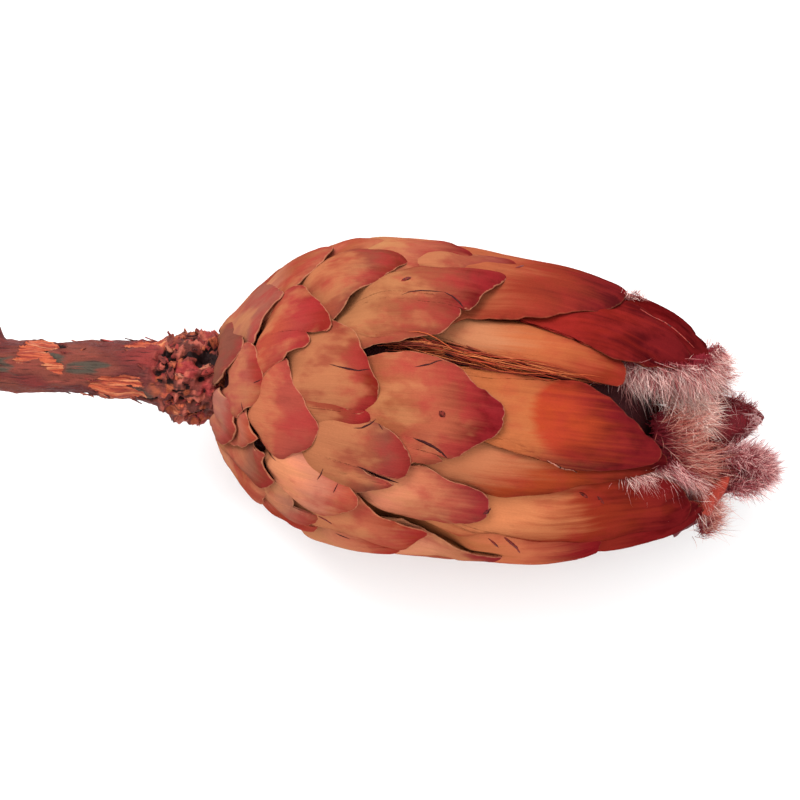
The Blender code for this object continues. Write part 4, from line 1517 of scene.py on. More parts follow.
@dataclass
class Beard:
    """The hair that fills the mouth of the head and covers the tips that stand out of it."""

    form: HeadForm
    plane: PhotoPlane
    seed: int = 71

    def strands(self, patch: Patch, rng: np.random.Generator) -> np.ndarray:
        """The paths of one patch's hairs.

        Args:
            patch: the patch.
            rng: where its unevenness comes from.

        Returns:
            Points in the part's frame, as (hair, point, 3).
        """
        line = np.array(patch.line)
        place = rng.uniform(0, len(line) - 1, patch.count)
        root = np.stack([np.interp(place, np.arange(len(line)), line[:, i]) for i in range(3)], -1)
        root[:, 0] += rng.normal(0, 0.6, patch.count) * patch.spread[0]
        root[:, 1] += rng.normal(0, 0.6, patch.count) * patch.spread[1]
        root[:, 2] += rng.normal(0, 0.5, patch.count)
        lock = rng.integers(0, max(patch.count // 14, 1), patch.count)
        lock_way = rng.normal(0, patch.fan * 0.8, (patch.count // 14 + 1, 3))[lock]
        way = np.array(patch.way) + lock_way + rng.normal(0, patch.fan * 0.45, (patch.count, 3))
        way /= np.linalg.norm(way, axis=1)[:, None]
        length = rng.uniform(*patch.length, patch.count) * rng.uniform(0.75, 1.05, patch.count)
        bend = rng.normal(0, patch.curl, (patch.count, 3)) + lock_way * 0.4
        t = np.linspace(0, 1, 4)[None, :, None]
        scale = np.array([1.0, 1.0, 0.2])
        path = root[:, None] + way[:, None] * scale * length[:, None, None] * t
        path = path + bend[:, None] * scale * length[:, None, None] * t**2
        path = path + np.array(patch.fall) * np.array([30.0, 30.0, 1.0]) * t**2
        return self.plane.at(path[..., :2], path[..., 2])

    def front(self, patches: tuple[Patch, ...]) -> Hairs:
        """The hair that the photograph shows.

        Args:
            patches: the patches of one piece.

        Returns:
            The gathered hairs.
        """
        rng = np.random.default_rng(self.seed + len(patches))
        hairs = Hairs()
        for patch in patches:
            paths = self.strands(patch, rng)
            tints = np.array(patch.tints)[rng.integers(0, len(patch.tints), patch.count)]
            tints = tints * rng.uniform(0.8, 1.12, (patch.count, 1))
            thick = patch.radius * rng.uniform(0.75, 1.25, patch.count)
            hairs.add(self.form.rested(paths), thick, tints, np.full(patch.count, patch.root))
        return hairs

    def behind(self, count: int = 6400) -> Hairs:
        """The hair of the unseen side of the mouth and of its rim.

        Args:
            count: how many hairs there are.

        Returns:
            The gathered hairs.
        """
        rng = np.random.default_rng(self.seed + 50)
        angle = rng.uniform(72, 292, count)
        share = rng.uniform(0, 1, count)
        rim = share < 0.4
        reach = np.where(rim, rng.uniform(9.5, 14.5, count), 12 * np.sqrt(rng.uniform(0, 1, count)))
        along = np.where(rim, rng.uniform(95, 99.5, count), 92 + 6 * rng.uniform(0, 1, count))
        turn = np.radians(angle)
        side = np.stack([np.zeros(count), np.sin(turn), np.cos(turn)], axis=-1)
        root = side * reach[:, None]
        root[:, 0] = BASE_X + along
        root[:, 2] += AXIS_HEIGHT
        lock = rng.integers(0, count // 16, count)
        drift = rng.normal(0, 0.34, (count // 16, 3))[lock]
        way = np.array([1.0, 0, 0]) + side * 0.28 + drift + rng.normal(0, 0.2, (count, 3))
        way /= np.linalg.norm(way, axis=1)[:, None]
        length = rng.uniform(3.0, 7.5, count)
        bend = drift * 0.5 + rng.normal(0, 0.2, (count, 3)) + np.array([0, 0, -0.15])
        t = np.linspace(0, 1, 4)[None, :, None]
        paths = root[:, None] + way[:, None] * length[:, None, None] * t
        paths = paths + bend[:, None] * length[:, None, None] * t**2
        palette = np.array([*MAUVE, *CREAM, *PINK[:2]])
        tints = palette[rng.integers(0, len(palette), count)] * rng.uniform(0.8, 1.1, (count, 1))
        hairs = Hairs()
        hairs.add(self.form.rested(paths), 0.075 * rng.uniform(0.8, 1.2, count), tints, np.zeros(count))
        return hairs


@dataclass(frozen=True)
class Tuft:
    """A hair-covered tip that stands out of the mouth, placed as in a patch of hair."""

    start: tuple[float, float, float]
    end: tuple[float, float, float]
    radius: float
    tint: tuple[float, float, float] = tone(96, 26, 32)


@dataclass
class Heart:
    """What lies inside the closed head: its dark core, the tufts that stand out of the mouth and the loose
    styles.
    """

    form: HeadForm
    plane: PhotoPlane
    tufts: tuple[Tuft, ...] = (
        Tuft((702, 424, -1), (764, 417, 2.0), 6.9, tone(98, 20, 28)),
        Tuft((690, 480, -1), (770, 472, 0.5), 5.2),
        Tuft((700, 502, 2), (729, 477, 6.5), 3.0, tone(160, 56, 42)),
        Tuft((670, 515, -6), (712, 508, -5), 4.4),
        Tuft((660, 440, 2), (716, 438, 2), 4.6, tone(142, 58, 52)),
    )
    seed: int = 12

    def lump(self, bag: MeshBag, line: np.ndarray, radius: np.ndarray, tint: tuple) -> None:
        """A lumpy round body along a line.

        Args:
            bag: where the mesh goes.
            line: the points of its middle line, in the part's frame.
            radius: its radius at each.
            tint: its colour.
        """
        sides = 40
        way = np.gradient(line, axis=0)
        way /= np.linalg.norm(way, axis=1)[:, None] + 1e-9
        one = np.cross(way, np.array([0.0, 0.0, 1.0]))
        one /= np.linalg.norm(one, axis=1)[:, None] + 1e-9
        two = np.cross(way, one)
        turn = np.arange(sides) * 2 * math.pi / sides
        ring = one[:, None] * np.cos(turn)[:, None] + two[:, None] * np.sin(turn)[:, None]
        noise = Noise(self.seed)
        spots = line[:, None] + ring * radius[:, None, None]
        rough = np.minimum(0.16, 0.7 / radius)[:, None]
        swell = 1 + rough * (noise.at(spots, 3.2) + 0.6 * noise.at(spots + 40, 1.3))
        verts = line[:, None] + ring * (radius[:, None] * swell)[..., None]
        rings = len(line)
        ids = np.arange(rings * sides).reshape(rings, sides)
        after = np.roll(ids, -1, axis=1)
        quads = np.stack([ids[:-1], after[:-1], after[1:], ids[1:]], axis=-1).reshape(-1, 4)
        faces = np.vstack([quads[:, [0, 1, 2]], quads[:, [0, 2, 3]]])
        first, last = rings * sides, rings * sides + 1
        caps = [(first, after[0, s], ids[0, s]) for s in range(sides)]
        caps += [(last, ids[-1, s], after[-1, s]) for s in range(sides)]
        points = np.vstack([verts.reshape(-1, 3), line[:1], line[-1:]])
        count = len(points)
        bag.add(
            self.form.rested(points),
            np.vstack([faces, np.array(caps)]),
            grain=points,
            reach=np.full(count, 0.6),
            tint_tip=np.tile(tint, (count, 1)),
        )

    def core(self, bag: MeshBag) -> None:
        """The dark body under the bracts, up to the mouth.

        Args:
            bag: where the mesh goes.
        """
        along = np.linspace(3.0, 88.0, 90)
        depth = np.interp(along, (3, 18, 60, 80, 88), (4.0, 6.0, 8.5, 9.5, 12.0))
        radius = np.interp(along, self.form.curve[:, 0], self.form.curve[:, 1]) - depth
        radius = np.maximum(radius * np.sqrt(np.clip((88.6 - along) / 7.0, 0, 1)), 1.0)
        middle = np.interp(along, *np.array(self.form.sideways).T)
        line = np.stack([BASE_X + along, middle, np.full_like(along, AXIS_HEIGHT)], axis=-1)
        # The core's near-black crimson is partly painted shade: darker than the florets' own maroon, so that the
        # inside of the head reads as shade.
        self.lump(bag, line, radius * 0.97, tone(50, 7, 11))

    def tips(self, bag: MeshBag) -> None:
        """The tufts' bodies.

        Args:
            bag: where the mesh goes.
        """
        share = np.linspace(0, 1, 22)
        for tuft in self.tufts:
            ends = np.array([tuft.start, tuft.end], dtype=float)
            start, end = self.plane.at(ends[:, :2], ends[:, 2])
            line = start + (end - start) * share[:, None]
            round_off = np.sqrt(np.maximum(1 - share**2.4, 0.004))
            self.lump(bag, line, tuft.radius * round_off * (1 - 0.55 * share), tuft.tint)

    def styles(self, hairs: Hairs, count: int = 84) -> None:
        """The loose orange-brown styles that show between the bracts.

        Args:
            hairs: where they go.
            count: how many there are.
        """
        rng = np.random.default_rng(self.seed)
        start = rng.uniform(44, 64, count)
        end = np.minimum(start + rng.uniform(12, 34, count), 91)
        level = rng.uniform(0, 1, count)
        turn_in = 27.5 - 8 * rng.uniform(0, 1, count) - (start - 44) * 0.2
        turn_out = 20.0 - 4 * rng.uniform(0, 1, count) - np.maximum(end - 80, 0) * 0.08
        t = np.linspace(0, 1, 9)[None]
        arc = start[:, None] + (end - start)[:, None] * t
        wave = 1.4 * np.sin(t * rng.uniform(2, 7, (count, 1)) + rng.uniform(0, 6, (count, 1)))
        angle = turn_in[:, None] + (turn_out - turn_in)[:, None] * t + wave
        height = -3.2 - 2.4 * level[:, None] + 0.5 * np.sin(3 * t + rng.uniform(0, 6, (count, 1)))
        paths = self.form.place(arc, angle, height)
        palette = np.array([tone(180, 84, 46), tone(152, 58, 34), tone(112, 34, 26), tone(192, 108, 64)])
        tints = palette[rng.integers(0, 4, count)]
        hairs.add(paths, rng.uniform(0.09, 0.19, count), tints, np.full(count, 0.3))

    def build(self) -> tuple[MeshBag, Hairs]:
        """Builds it all.

        Returns:
            The solid bodies and the styles.
        """
        bag, hairs = MeshBag(), Hairs()
        self.core(bag)
        self.tips(bag)
        self.styles(hairs)
        return bag, hairs


@dataclass(frozen=True)
class Mark:
    """An oval place on the bark, as the photograph shows it, in its pixels."""

    x: float
    y: float
    long: float
    wide: float
    turn: float = 0.0
    depth: float = 0.0


@dataclass
class Stem:
    """The cut stem: knobbly bark with bared, peeling wood, and a rough collar under the head."""

    plane: PhotoPlane
    end: float = -60.0
    rings: int = 270
    sides: int = 156
    scars: tuple[Mark, ...] = (
        Mark(36, 350, 24, 10, -12),
        Mark(50, 365, 15, 9, 20),
        Mark(119, 388, 26, 13, 10),
        Mark(156, 344, 28, 5),
        Mark(186, 404, 12, 9, 30),
    )
    patches: tuple[Mark, ...] = (
        Mark(55, 360, 9, 11),
        Mark(86, 367, 20, 8),
        Mark(154, 378, 11, 24, 20),
        Mark(3, 365, 8, 10),
    )
    flushes: tuple[Mark, ...] = (
        Mark(2, 331, 9, 9),
        Mark(144, 352, 24, 14),
        Mark(166, 374, 10, 22),
        Mark(25, 380, 30, 8),
    )
    pits: tuple[Mark, ...] = (
        Mark(57, 348, 4, 5),
        Mark(168, 380, 5, 4),
        Mark(200, 354, 5, 5),
        Mark(212, 356, 6, 17),
        Mark(182, 388, 4, 7),
        Mark(150, 397, 8, 3),
    )
    knobs: tuple[tuple[float, float, float, float], ...] = (
        (-44.0, 88, 3.2, 1.5),
        (-36, 22, 0.7, 2.6),
        (-19.5, -62, 0.8, 2.6),
        (-12, -40, 0.9, 2.6),
        (-52, -120, 1.0, 2.6),
        (-28, 170, 0.9, 2.6),
        (-15, 140, 0.8, 2.6),
        (-5, -78, 0.7, 3.2),
    )
    seed: int = 9

    def seen(self, points: np.ndarray) -> np.ndarray:
        """The photograph's pixel over each point, with no account of what hides it.

        Args:
            points: points in the part's frame.

        Returns:
            The pixels.
        """
        plane = self.plane
        high = plane.eye_height / (plane.eye_height - (points[..., 2] - AXIS_HEIGHT))
        along = plane.eye_along + (points[..., 0] - BASE_X - plane.eye_along) * high
        side = plane.eye_side + (points[..., 1] - plane.eye_side) * high
        cos, sin = math.cos(plane.tilt), math.sin(plane.tilt)
        dx = (along * cos + side * sin) / plane.pixel
        dy = (along * sin - side * cos) / plane.pixel
        return np.stack([plane.base[0] + dx, plane.base[1] + dy], axis=-1)

    def within(self, marks: tuple[Mark, ...], points: np.ndarray, top: np.ndarray) -> np.ndarray:
        """How far inside any of the marks each point is, from 0 to 1.

        Args:
            marks: the marks.
            points: points in the part's frame.
            top: 1 on the side that the photograph shows, 0 behind.

        Returns:
            The shares.
        """
        noise = Noise(self.seed + 3)
        pixels = self.seen(points)
        pixels[..., 0] += 11 * noise.layered(points, (9.0, 0.9, 0.9), 2) + 4 * noise.at(points, 2.5)
        pixels[..., 1] += 4 * noise.at(points + 20, 2.6)
        most = np.zeros(points.shape[:-1])
        for mark in marks:
            turn = math.radians(mark.turn)
            dx, dy = pixels[..., 0] - mark.x, pixels[..., 1] - mark.y
            a = (dx * math.cos(turn) + dy * math.sin(turn)) / mark.long
            b = (dy * math.cos(turn) - dx * math.sin(turn)) / mark.wide
            most = np.maximum(most, smooth_step(np.hypot(a, b), 1.2, 0.7))
        return most * top

    def radius(self, along: np.ndarray) -> np.ndarray:
        """The stem's mean radius at a distance from the head's base."""
        swell = 0.9 * np.exp(-(((along + 15) / 9) ** 2))
        return 5.1 + swell + 3.2 / (1 + np.exp(-(along + 9.5) / 1.2))

    def side(self, along: np.ndarray) -> np.ndarray:
        """How far its middle line bends sideways."""
        share = np.clip((along + 44) / 40, 0, 1)
        return 1.6 * share**1.5 * (3 - 2 * share) - 0.1

    def build(self) -> MeshBag:
        """Makes the bark as one closed skin.

        Returns:
            The mesh.
        """
        noise = Noise(self.seed)
        along = np.linspace(self.end, 3.0, self.rings)[:, None]
        turn = np.linspace(0, 2 * math.pi, self.sides, endpoint=False)[None]
        radius = self.radius(along) * np.ones_like(turn)
        radius = np.where(along > 1.0, radius - (along - 1.0) * 1.2, radius)
        way = np.stack(np.broadcast_arrays(0 * along * turn, np.sin(turn), np.cos(turn)), axis=-1)
        line = np.zeros((self.rings, 1, 3))
        line[..., 0], line[..., 1], line[..., 2] = BASE_X + along, self.side(along), AXIS_HEIGHT
        rough = line + way * radius[..., None]
        top = smooth_step(way[..., 2], -0.1, 0.15)
        collar = smooth_step(along + 1.5 * noise.at(rough, 5.0), -13.0, -8.5)
        scar = self.within(self.scars, rough, top)
        hidden = (1 - top) * smooth_step(noise.layered(rough + 9, 11.0), 0.75, 0.95)
        scar = np.maximum(scar, hidden) * (1 - 0.6 * collar)
        for place, angle, high, wide in self.knobs:
            round_by = np.radians((np.degrees(turn) - angle + 180) % 360 - 180) * 5.5
            radius = radius + high * np.exp(-(np.hypot(along - place, round_by) / wide) ** 2)
        stretched = rough * np.array([0.25, 1.0, 1.0])
        radius = radius + 0.34 * noise.layered(stretched, 2.6, 3) * (1 - 0.5 * scar)
        radius = radius + 0.22 * noise.layered(rough, 1.6, 3) + 0.3 * noise.at(rough, 6.0)
        folds = 1 - 2.2 * np.abs(noise.layered(rough + 33, (4.2, 5.5, 5.5), 2))
        crumbs = 1 - 2.4 * np.abs(noise.layered(rough + 66, (1.9, 2.4, 2.4), 2))
        heap = 0.9 * folds + 0.75 * crumbs + 0.3 * noise.layered(rough + 12, 0.9, 2)
        radius = radius + collar * (heap - 0.6)
        radius = radius - scar * (0.3 + 0.35 * np.abs(noise.layered(stretched + 70, 1.2, 2)))
        rim = np.clip(1 - np.abs(scar - 0.3) / 0.25, 0, 1) * (1 - collar)
        radius = radius + rim * 0.5 * (0.3 + np.abs(noise.layered(rough + 11, 1.4, 2)))
        pit = self.within(self.pits, rough, top)
        # The collar's hollows join the pits here, so that they are painted dark as shade.
        pit = np.maximum(pit, collar * smooth_step(heap, 0.15, -0.55))
        radius = np.maximum(radius - pit * 0.8, 1.0)
        verts = line + way * radius[..., None]
        tint = self.tinted(rough, top, collar, noise)
        across = (turn * 5.5) * np.ones_like(along)
        seam = np.minimum(across, 2 * math.pi * 5.5 - across)
        grain = np.stack([seam, along + 0 * turn, np.zeros_like(across) + 3.0], axis=-1)
        ids = np.arange(self.rings * self.sides).reshape(self.rings, self.sides)
        after = np.roll(ids, -1, axis=1)
        quads = np.stack([ids[:-1], ids[1:], after[1:], after[:-1]], axis=-1).reshape(-1, 4)
        faces = [quads[:, [0, 1, 2]], quads[:, [0, 2, 3]]]
        rows, points, grains = [ids[0]], [verts.reshape(-1, 3)], [grain.reshape(-1, 3)]
        total = count = self.rings * self.sides
        for share in (0.96, 0.9, 0.8, 0.66, 0.5, 0.34, 0.16):
            ring = line[0] + (verts[0] - line[0]) * share
            ring[:, 0] += 0.35 * noise.layered(ring, 1.3, 2) - 0.2 * (1 - share)
            points.append(ring)
            grains.append(ring[:, [1, 0, 2]] * np.array([1.0, 0.3, 0.5]) + 30)
            rows.append(np.arange(count, count + self.sides))
            count += self.sides
        for near, far in zip(rows, rows[1:]):
            turned_near, turned_far = np.roll(near, -1), np.roll(far, -1)
            faces.append(np.stack([near, turned_near, turned_far], -1))
            faces.append(np.stack([near, turned_far, far], -1))
        for row, flip in ((rows[-1], 1), (ids[-1], -1)):
            centre = np.vstack(points)[row].mean(axis=0)
            points.append(centre[None])
            grains.append(centre[None])
            faces.append(np.stack([row, np.roll(row, -1), np.full_like(row, count)], -1)[:, ::flip])
            count += 1
        extra = count - total
        cut = np.tile(tone(150, 84, 58), (extra, 1))
        bag = MeshBag()
        bag.add(
            np.vstack(points),
            np.vstack(faces),
            grain=np.vstack(grains),
            scar=np.concatenate([scar.ravel(), np.full(extra, 0.7)]),
            pit=np.concatenate([pit.ravel(), np.zeros(extra)]),
            tint_tip=np.vstack([tint.reshape(-1, 3), cut]),
        )
        return bag

    def tinted(
        self, rough: np.ndarray, top: np.ndarray, collar: np.ndarray, noise: Noise
    ) -> np.ndarray:
        """The bark's colour before its fine streaks.

        Args:
            rough: points of the bark.
            top: 1 on the side that the photograph shows, 0 behind.
            collar: 1 on the rough collar under the head, 0 on the plain stem.
            noise: where its unevenness comes from.

        Returns:
            A colour for each point.
        """
        drift = noise.layered(rough * np.array([0.35, 1.0, 1.0]) + 81, 4.5, 3)
        behind = 1 - top
        flush = np.maximum(
            self.within(self.flushes, rough, top),
            behind * smooth_step(noise.layered(rough + 55, 13.0), 0.2, 0.8),
        )
        moss = np.maximum(
            self.within(self.patches, rough, top),
            behind * smooth_step(noise.layered(rough + 5, 9.0), 0.3, 0.8),
        )
        lumps, specks = noise.layered(rough + 21, 3.4, 2), noise.layered(rough + 44, 1.7, 2)
        coats = (
            (smooth_step(drift, 0.0, 0.6) * 0.7, tone(122, 60, 46)),
            (flush * smooth_step(drift, 0.5, -0.4) * 0.8, tone(134, 46, 42)),
            (moss * smooth_step(drift, -0.7, 0.3), tone(72, 62, 52)),
            (collar * 0.9, tone(112, 46, 38)),
            (collar * smooth_step(lumps, 0.05, 0.4) * 0.8, tone(150, 48, 48)),
            (collar * smooth_step(lumps, -0.1, -0.45) * 0.85, tone(76, 34, 28)),
            (collar * smooth_step(specks, 0.3, 0.6) * 0.7, tone(186, 96, 78)),
            (collar * smooth_step(specks, -0.25, -0.5) * 0.7, tone(170, 82, 48)),
        )
        colour = np.tile(tone(90, 34, 32), (*rough.shape[:2], 1))
        for share, coat in coats:
            colour = colour + (np.array(coat) - colour) * share[..., None]
        return colour


@dataclass
class Chaff:
    """Torn slivers and crumbs round the collar, and flakes on the bared wood."""

    form: HeadForm
    stem: Stem
    seed: int = 44
    tints: tuple[tuple[float, float, float], ...] = (
        tone(112, 46, 40),
        tone(150, 56, 50),
        tone(156, 76, 52),
        tone(74, 30, 28),
        tone(128, 48, 46),
        tone(170, 100, 78),
    )

    def flake(
        self, bag: MeshBag, root: np.ndarray, way: np.ndarray, out: np.ndarray, size: tuple, tint: tuple
    ) -> None:
        """A small curved blade.

        Args:
            bag: where the mesh goes.
            root: where it grows from.
            way: the way it points.
            out: the way its face looks.
            size: its length, width, thickness and curl.
            tint: its colour.
        """
        rng = np.random.default_rng(int(abs(root[0] * 977 + root[1] * 131 + root[2] * 17)) + 1)
        long, wide, thick, curl = size
        side = np.cross(way, out)
        t = np.linspace(0, 1, 7)
        half = wide / 2 * np.sqrt(np.maximum(1 - t**2.4, 0.01)) * rng.uniform(0.8, 1.1, 7)
        mid = root + way * (long * t)[:, None] + out * (curl * t**2 * long)[:, None]
        mid = mid + side * (0.15 * long * t**2 * rng.uniform(-1, 1))[:, None]
        points = []
        for level in (0.5, -0.5):
            for across in (-1, -0.35, 0.35, 1):
                lift = out * (level * thick - 0.18 * wide * across**2)
                points.append(mid + side * (half * across)[:, None] + lift)
        verts = np.stack(points, axis=1).reshape(-1, 3)
        ids = np.arange(56).reshape(7, 8)
        quads = []
        for a, b in ((0, 1), (1, 2), (2, 3), (5, 4), (6, 5), (7, 6), (4, 0), (3, 7)):
            quads += [(ids[i, a], ids[i, b], ids[i + 1, b], ids[i + 1, a]) for i in range(6)]
        for k, row in ((1, ids[0]), (-1, ids[-1])):
            quads += [(row[j], row[j + 4], row[j + 5], row[j + 1])[::k] for j in range(3)]
        grain = np.stack([np.tile([-1, -0.35, 0.35, 1] * 2, 7) * wide / 2, np.repeat(t * long, 8), np.full(56, root[0])], -1)
        bag.add(verts, np.array(quads), grain=grain, tint_tip=np.tile(tint, (56, 1)))

    def build(self) -> MeshBag:
        """Builds all the flakes.

        Returns:
            The mesh.
        """
        rng = np.random.default_rng(self.seed)
        bag = MeshBag()
        for _ in range(90):
            along = rng.uniform(-9.5, 1.5)
            turn = rng.uniform(0, 2 * math.pi)
            out = np.array([0.0, math.sin(turn), math.cos(turn)])
            radius = float(self.stem.radius(np.array(along))) - 0.3 + rng.uniform(-0.6, 0.3)
            centre = np.array([BASE_X + along, float(self.stem.side(np.array(along))), AXIS_HEIGHT])
            way = np.array([rng.uniform(-1.0, 1.0), 0, 0]) + rng.normal(0, 0.6, 3)
            way = way - out * (np.dot(way, out) - rng.uniform(0.0, 0.35))
            way /= np.linalg.norm(way)
            face = out - way * np.dot(out, way)
            face /= np.linalg.norm(face)
            size = (rng.uniform(1.2, 3.4), rng.uniform(0.5, 1.6), rng.uniform(0.15, 0.4), rng.uniform(-0.3, 0.5))
            self.flake(bag, centre + out * radius, way, face, size, self.tints[int(rng.integers(6))])
        for _ in range(40):
            along = rng.uniform(-59, -11)
            turn = rng.uniform(0, 2 * math.pi)
            out = np.array([0.0, math.sin(turn), math.cos(turn)])
            radius = float(self.stem.radius(np.array(along))) - 0.1
            centre = np.array([BASE_X + along, float(self.stem.side(np.array(along))), AXIS_HEIGHT])
            way = np.array([rng.choice([-1.0, 1.0]), 0, 0]) + rng.normal(0, 0.3, 3)
            way = way - out * np.dot(way, out) + out * rng.uniform(0.02, 0.2)
            way /= np.linalg.norm(way)
            face = out - way * np.dot(out, way)
            face /= np.linalg.norm(face)
            size = (rng.uniform(1.0, 3.0), rng.uniform(0.3, 0.8), 0.16, rng.uniform(0.0, 0.12))
            self.flake(bag, centre + out * radius, way, face, size, self.tints[int(rng.integers(6))])
        return bag


@dataclass(frozen=True)
class Split:
    """A crack, dark patch, torn edge or painted highlight line, drawn over the bracts where the photograph shows
    it.
    """

    path: tuple[tuple[float, float], ...]
    wide: float = 1.3
    # The near-black default is painted shade: it stands for the shade inside a crack or a gap between bracts.
    tint: tuple[float, float, float] = tone(58, 12, 16)
    blunt: bool = False
    proud: float = 0.03


# Dark reddish patches drawn over the bracts; the first of them, in a small crumple, is painted shade.
DARK_PATCH = tone(120, 34, 26)
TORN = tone(186, 118, 100)
# Painted highlight: the colour of a lighter line along the fold of b31's margin.
FOLD_HIGHLIGHT = tone(160, 62, 52)
SPLITS = (
    Split(((329, 364), (338, 366.5), (347, 368.5), (358, 370.5), (370, 369)), 1.8),
    Split(((323, 468), (321, 474), (317, 480)), 1.2),
    Split(((338, 483), (336, 487), (333, 493)), 1.2),
    Split(((241, 402), (242, 407), (243, 412)), 1.3),
    Split(((262, 379), (258, 381), (253, 383)), 1.0),
    Split(((268, 451), (272, 457), (276, 461)), 1.1),
    Split(((383, 430), (380, 426), (378, 423)), 1.0),
    Split(((401, 295), (410, 291.5), (421, 290.5), (432, 291), (444, 292)), 1.2),
    Split(((444, 292), (452, 296), (459, 302), (464, 308)), 2.2),
    Split(((414, 367), (420, 366), (430, 364), (437, 361), (446, 359.5)), 1.6),
    Split(((413, 438), (424, 442), (434, 447), (441, 452), (448, 459)), 3.0),
    Split(((357, 466), (366, 470), (378, 476), (389, 480), (399, 483)), 2.6),
    Split(((353, 428), (361, 428), (370, 424), (376, 419)), 1.6),
    Split(((335, 533), (342, 536), (350, 539)), 1.4),
    # Painted shade in a small crumple.
    Split(((318, 516), (326, 520), (332, 524)), 2.2, DARK_PATCH, True),
    Split(((401, 281), (406, 279), (411, 277)), 5.0, DARK_PATCH, True),
    Split(((488, 538), (493, 542), (499, 548)), 2.4, DARK_PATCH, True),
    Split(((504, 537), (510, 542), (516, 547), (520, 553)), 3.4, DARK_PATCH, True),
    Split(((579, 492), (584, 495), (588, 498)), 3.4, DARK_PATCH, True),
    Split(((597, 496), (601, 500), (604, 504)), 2.6, DARK_PATCH, True),
    Split(((483, 514), (487, 512), (491, 509)), 5.0, tone(96, 26, 28), True),
    Split(((439, 411), (442, 414), (445, 417)), 6.0, tone(128, 44, 34), True),
    Split(((515, 268), (519, 267), (524, 265)), 3.0, DARK_PATCH, True),
    # Painted highlight: a lighter line drawn along the fold of b31's margin.
    Split(((640, 309), (651, 316), (664, 322), (674, 329), (684, 338), (694, 348)), 1.2, FOLD_HIGHLIGHT, True, 0.08),
    Split(((547, 460), (554, 464), (560, 467), (566, 469), (572, 470), (577, 473)), 1.5, TORN, True, 0.22),
)


@dataclass
class Damage:
    """The cracks and dark patches of the bracts, and a painted highlight line, each a thin wedge let into the
    surface it is seen on.
    """

    form: HeadForm
    plane: PhotoPlane
    seed: int = 5

    def skin(self, bags: tuple[MeshBag, ...]) -> BVHTree:
        """A tree of the bracts' faces, to find the surface with.

        Args:
            bags: the bracts' meshes.

        Returns:
            The tree.
        """
        verts, faces, count = [], [], 0
        for bag in bags:
            verts += bag.verts
            faces += [f + count for f in bag.faces]
            count += bag.count
        return BVHTree.FromPolygons(np.vstack(verts).tolist(), np.vstack(faces).tolist())

    def wedge(self, bag: MeshBag, spots: np.ndarray, normals: np.ndarray, split: Split) -> None:
        """One wedge along points of the surface.

        Args:
            bag: where the mesh goes.
            spots: the points.
            normals: the surface's normal at each.
            split: what it is.
        """
        noise = Noise(self.seed)
        count = len(spots)
        share = np.linspace(0, 1, count)
        outline = np.sin(math.pi * share) ** (0.45 if split.blunt else 0.8)
        ragged = 1 + 0.35 * noise.at(spots, (0.8, 0.8, 0.8))
        half = 0.5 * split.wide * self.plane.pixel * np.maximum(outline * ragged, 0.05)
        way = np.gradient(spots, axis=0)
        side = np.cross(way, normals)
        side /= np.linalg.norm(side, axis=1)[:, None] + 1e-9
        left = spots + side * half[:, None] + normals * split.proud
        right = spots - side * half[:, None] + normals * split.proud
        low = spots - normals * 0.3
        verts = np.stack([left, right, low], axis=1).reshape(-1, 3)
        ids = np.arange(count * 3).reshape(count, 3)
        after = np.roll(ids, -1, axis=1)
        quads = np.stack([ids[:-1], after[:-1], after[1:], ids[1:]], -1).reshape(-1, 4)
        faces = np.vstack([quads[:, [0, 1, 2]], quads[:, [0, 2, 3]], ids[:1, ::-1], ids[-1:]])
        tint = np.tile(split.tint, (len(verts), 1))
        bag.add(verts, faces, grain=verts, tint_tip=tint)

    def front(self, tree: BVHTree, bag: MeshBag) -> None:
        """Lets in the damage and the painted highlight line that the photograph shows.

        Args:
            tree: the bracts' faces.
            bag: where the mesh goes.
        """
        plane = self.plane
        eye = Vector((BASE_X + plane.eye_along, plane.eye_side, AXIS_HEIGHT + plane.eye_height))
        for split in SPLITS:
            path = np.array(split.path)
            steps = np.concatenate([[0], np.cumsum(np.linalg.norm(np.diff(path, axis=0), axis=1))])
            place = np.linspace(0, steps[-1], max(int(steps[-1] / 1.6), 5))
            pixels = np.stack([np.interp(place, steps, path[:, i]) for i in (0, 1)], -1)
            hits = []
            for target in plane.at(pixels, 0.0):
                spot, normal, _, _ = tree.ray_cast(eye, (Vector(target) - eye).normalized())
                if spot is not None:
                    hits.append((spot, normal if normal.z > 0 else -normal))
            if len(hits) > 3:
                spots, normals = (np.array([list(hit[i]) for hit in hits]) for i in (0, 1))
                self.wedge(bag, spots, normals, split)

    def behind(self, tree: BVHTree, bag: MeshBag, count: int = 34) -> None:
        """Lets in like damage on the side that the photograph doesn't show.

        Args:
            tree: the bracts' faces.
            bag: where the mesh goes.
            count: how many places there are.
        """
        rng = np.random.default_rng(self.seed)
        for _ in range(count):
            arc, angle = rng.uniform(16, 92), rng.uniform(100, 262)
            long, lean = rng.uniform(2.0, 6.5), rng.uniform(-5, 5)
            share = np.linspace(0, 1, 12)
            far = self.form.place(arc + long * share, angle + lean * share, np.full(12, 12.0))
            near = self.form.place(arc + long * share, angle + lean * share, np.full(12, -6.0))
            hits = []
            for start, end in zip(far, near):
                way = Vector(end - start).normalized()
                spot, normal, _, _ = tree.ray_cast(Vector(start), way)
                if spot is not None:
                    hits.append((spot, normal if normal.dot(way) < 0 else -normal))
            if len(hits) == 12:
                spots, normals = (np.array([list(hit[i]) for hit in hits]) for i in (0, 1))
                if np.abs(np.diff(spots, axis=0)).max() < 1.2:
                    self.wedge(bag, spots, normals, Split((), rng.uniform(0.9, 2.2)))

    def build(self, bags: tuple[MeshBag, ...]) -> MeshBag:
        """Builds it all.

        Args:
            bags: the bracts' meshes.

        Returns:
            The mesh.
        """
        tree = self.skin(bags)
        bag = MeshBag()
        self.front(tree, bag)
        self.behind(tree, bag)
        return bag


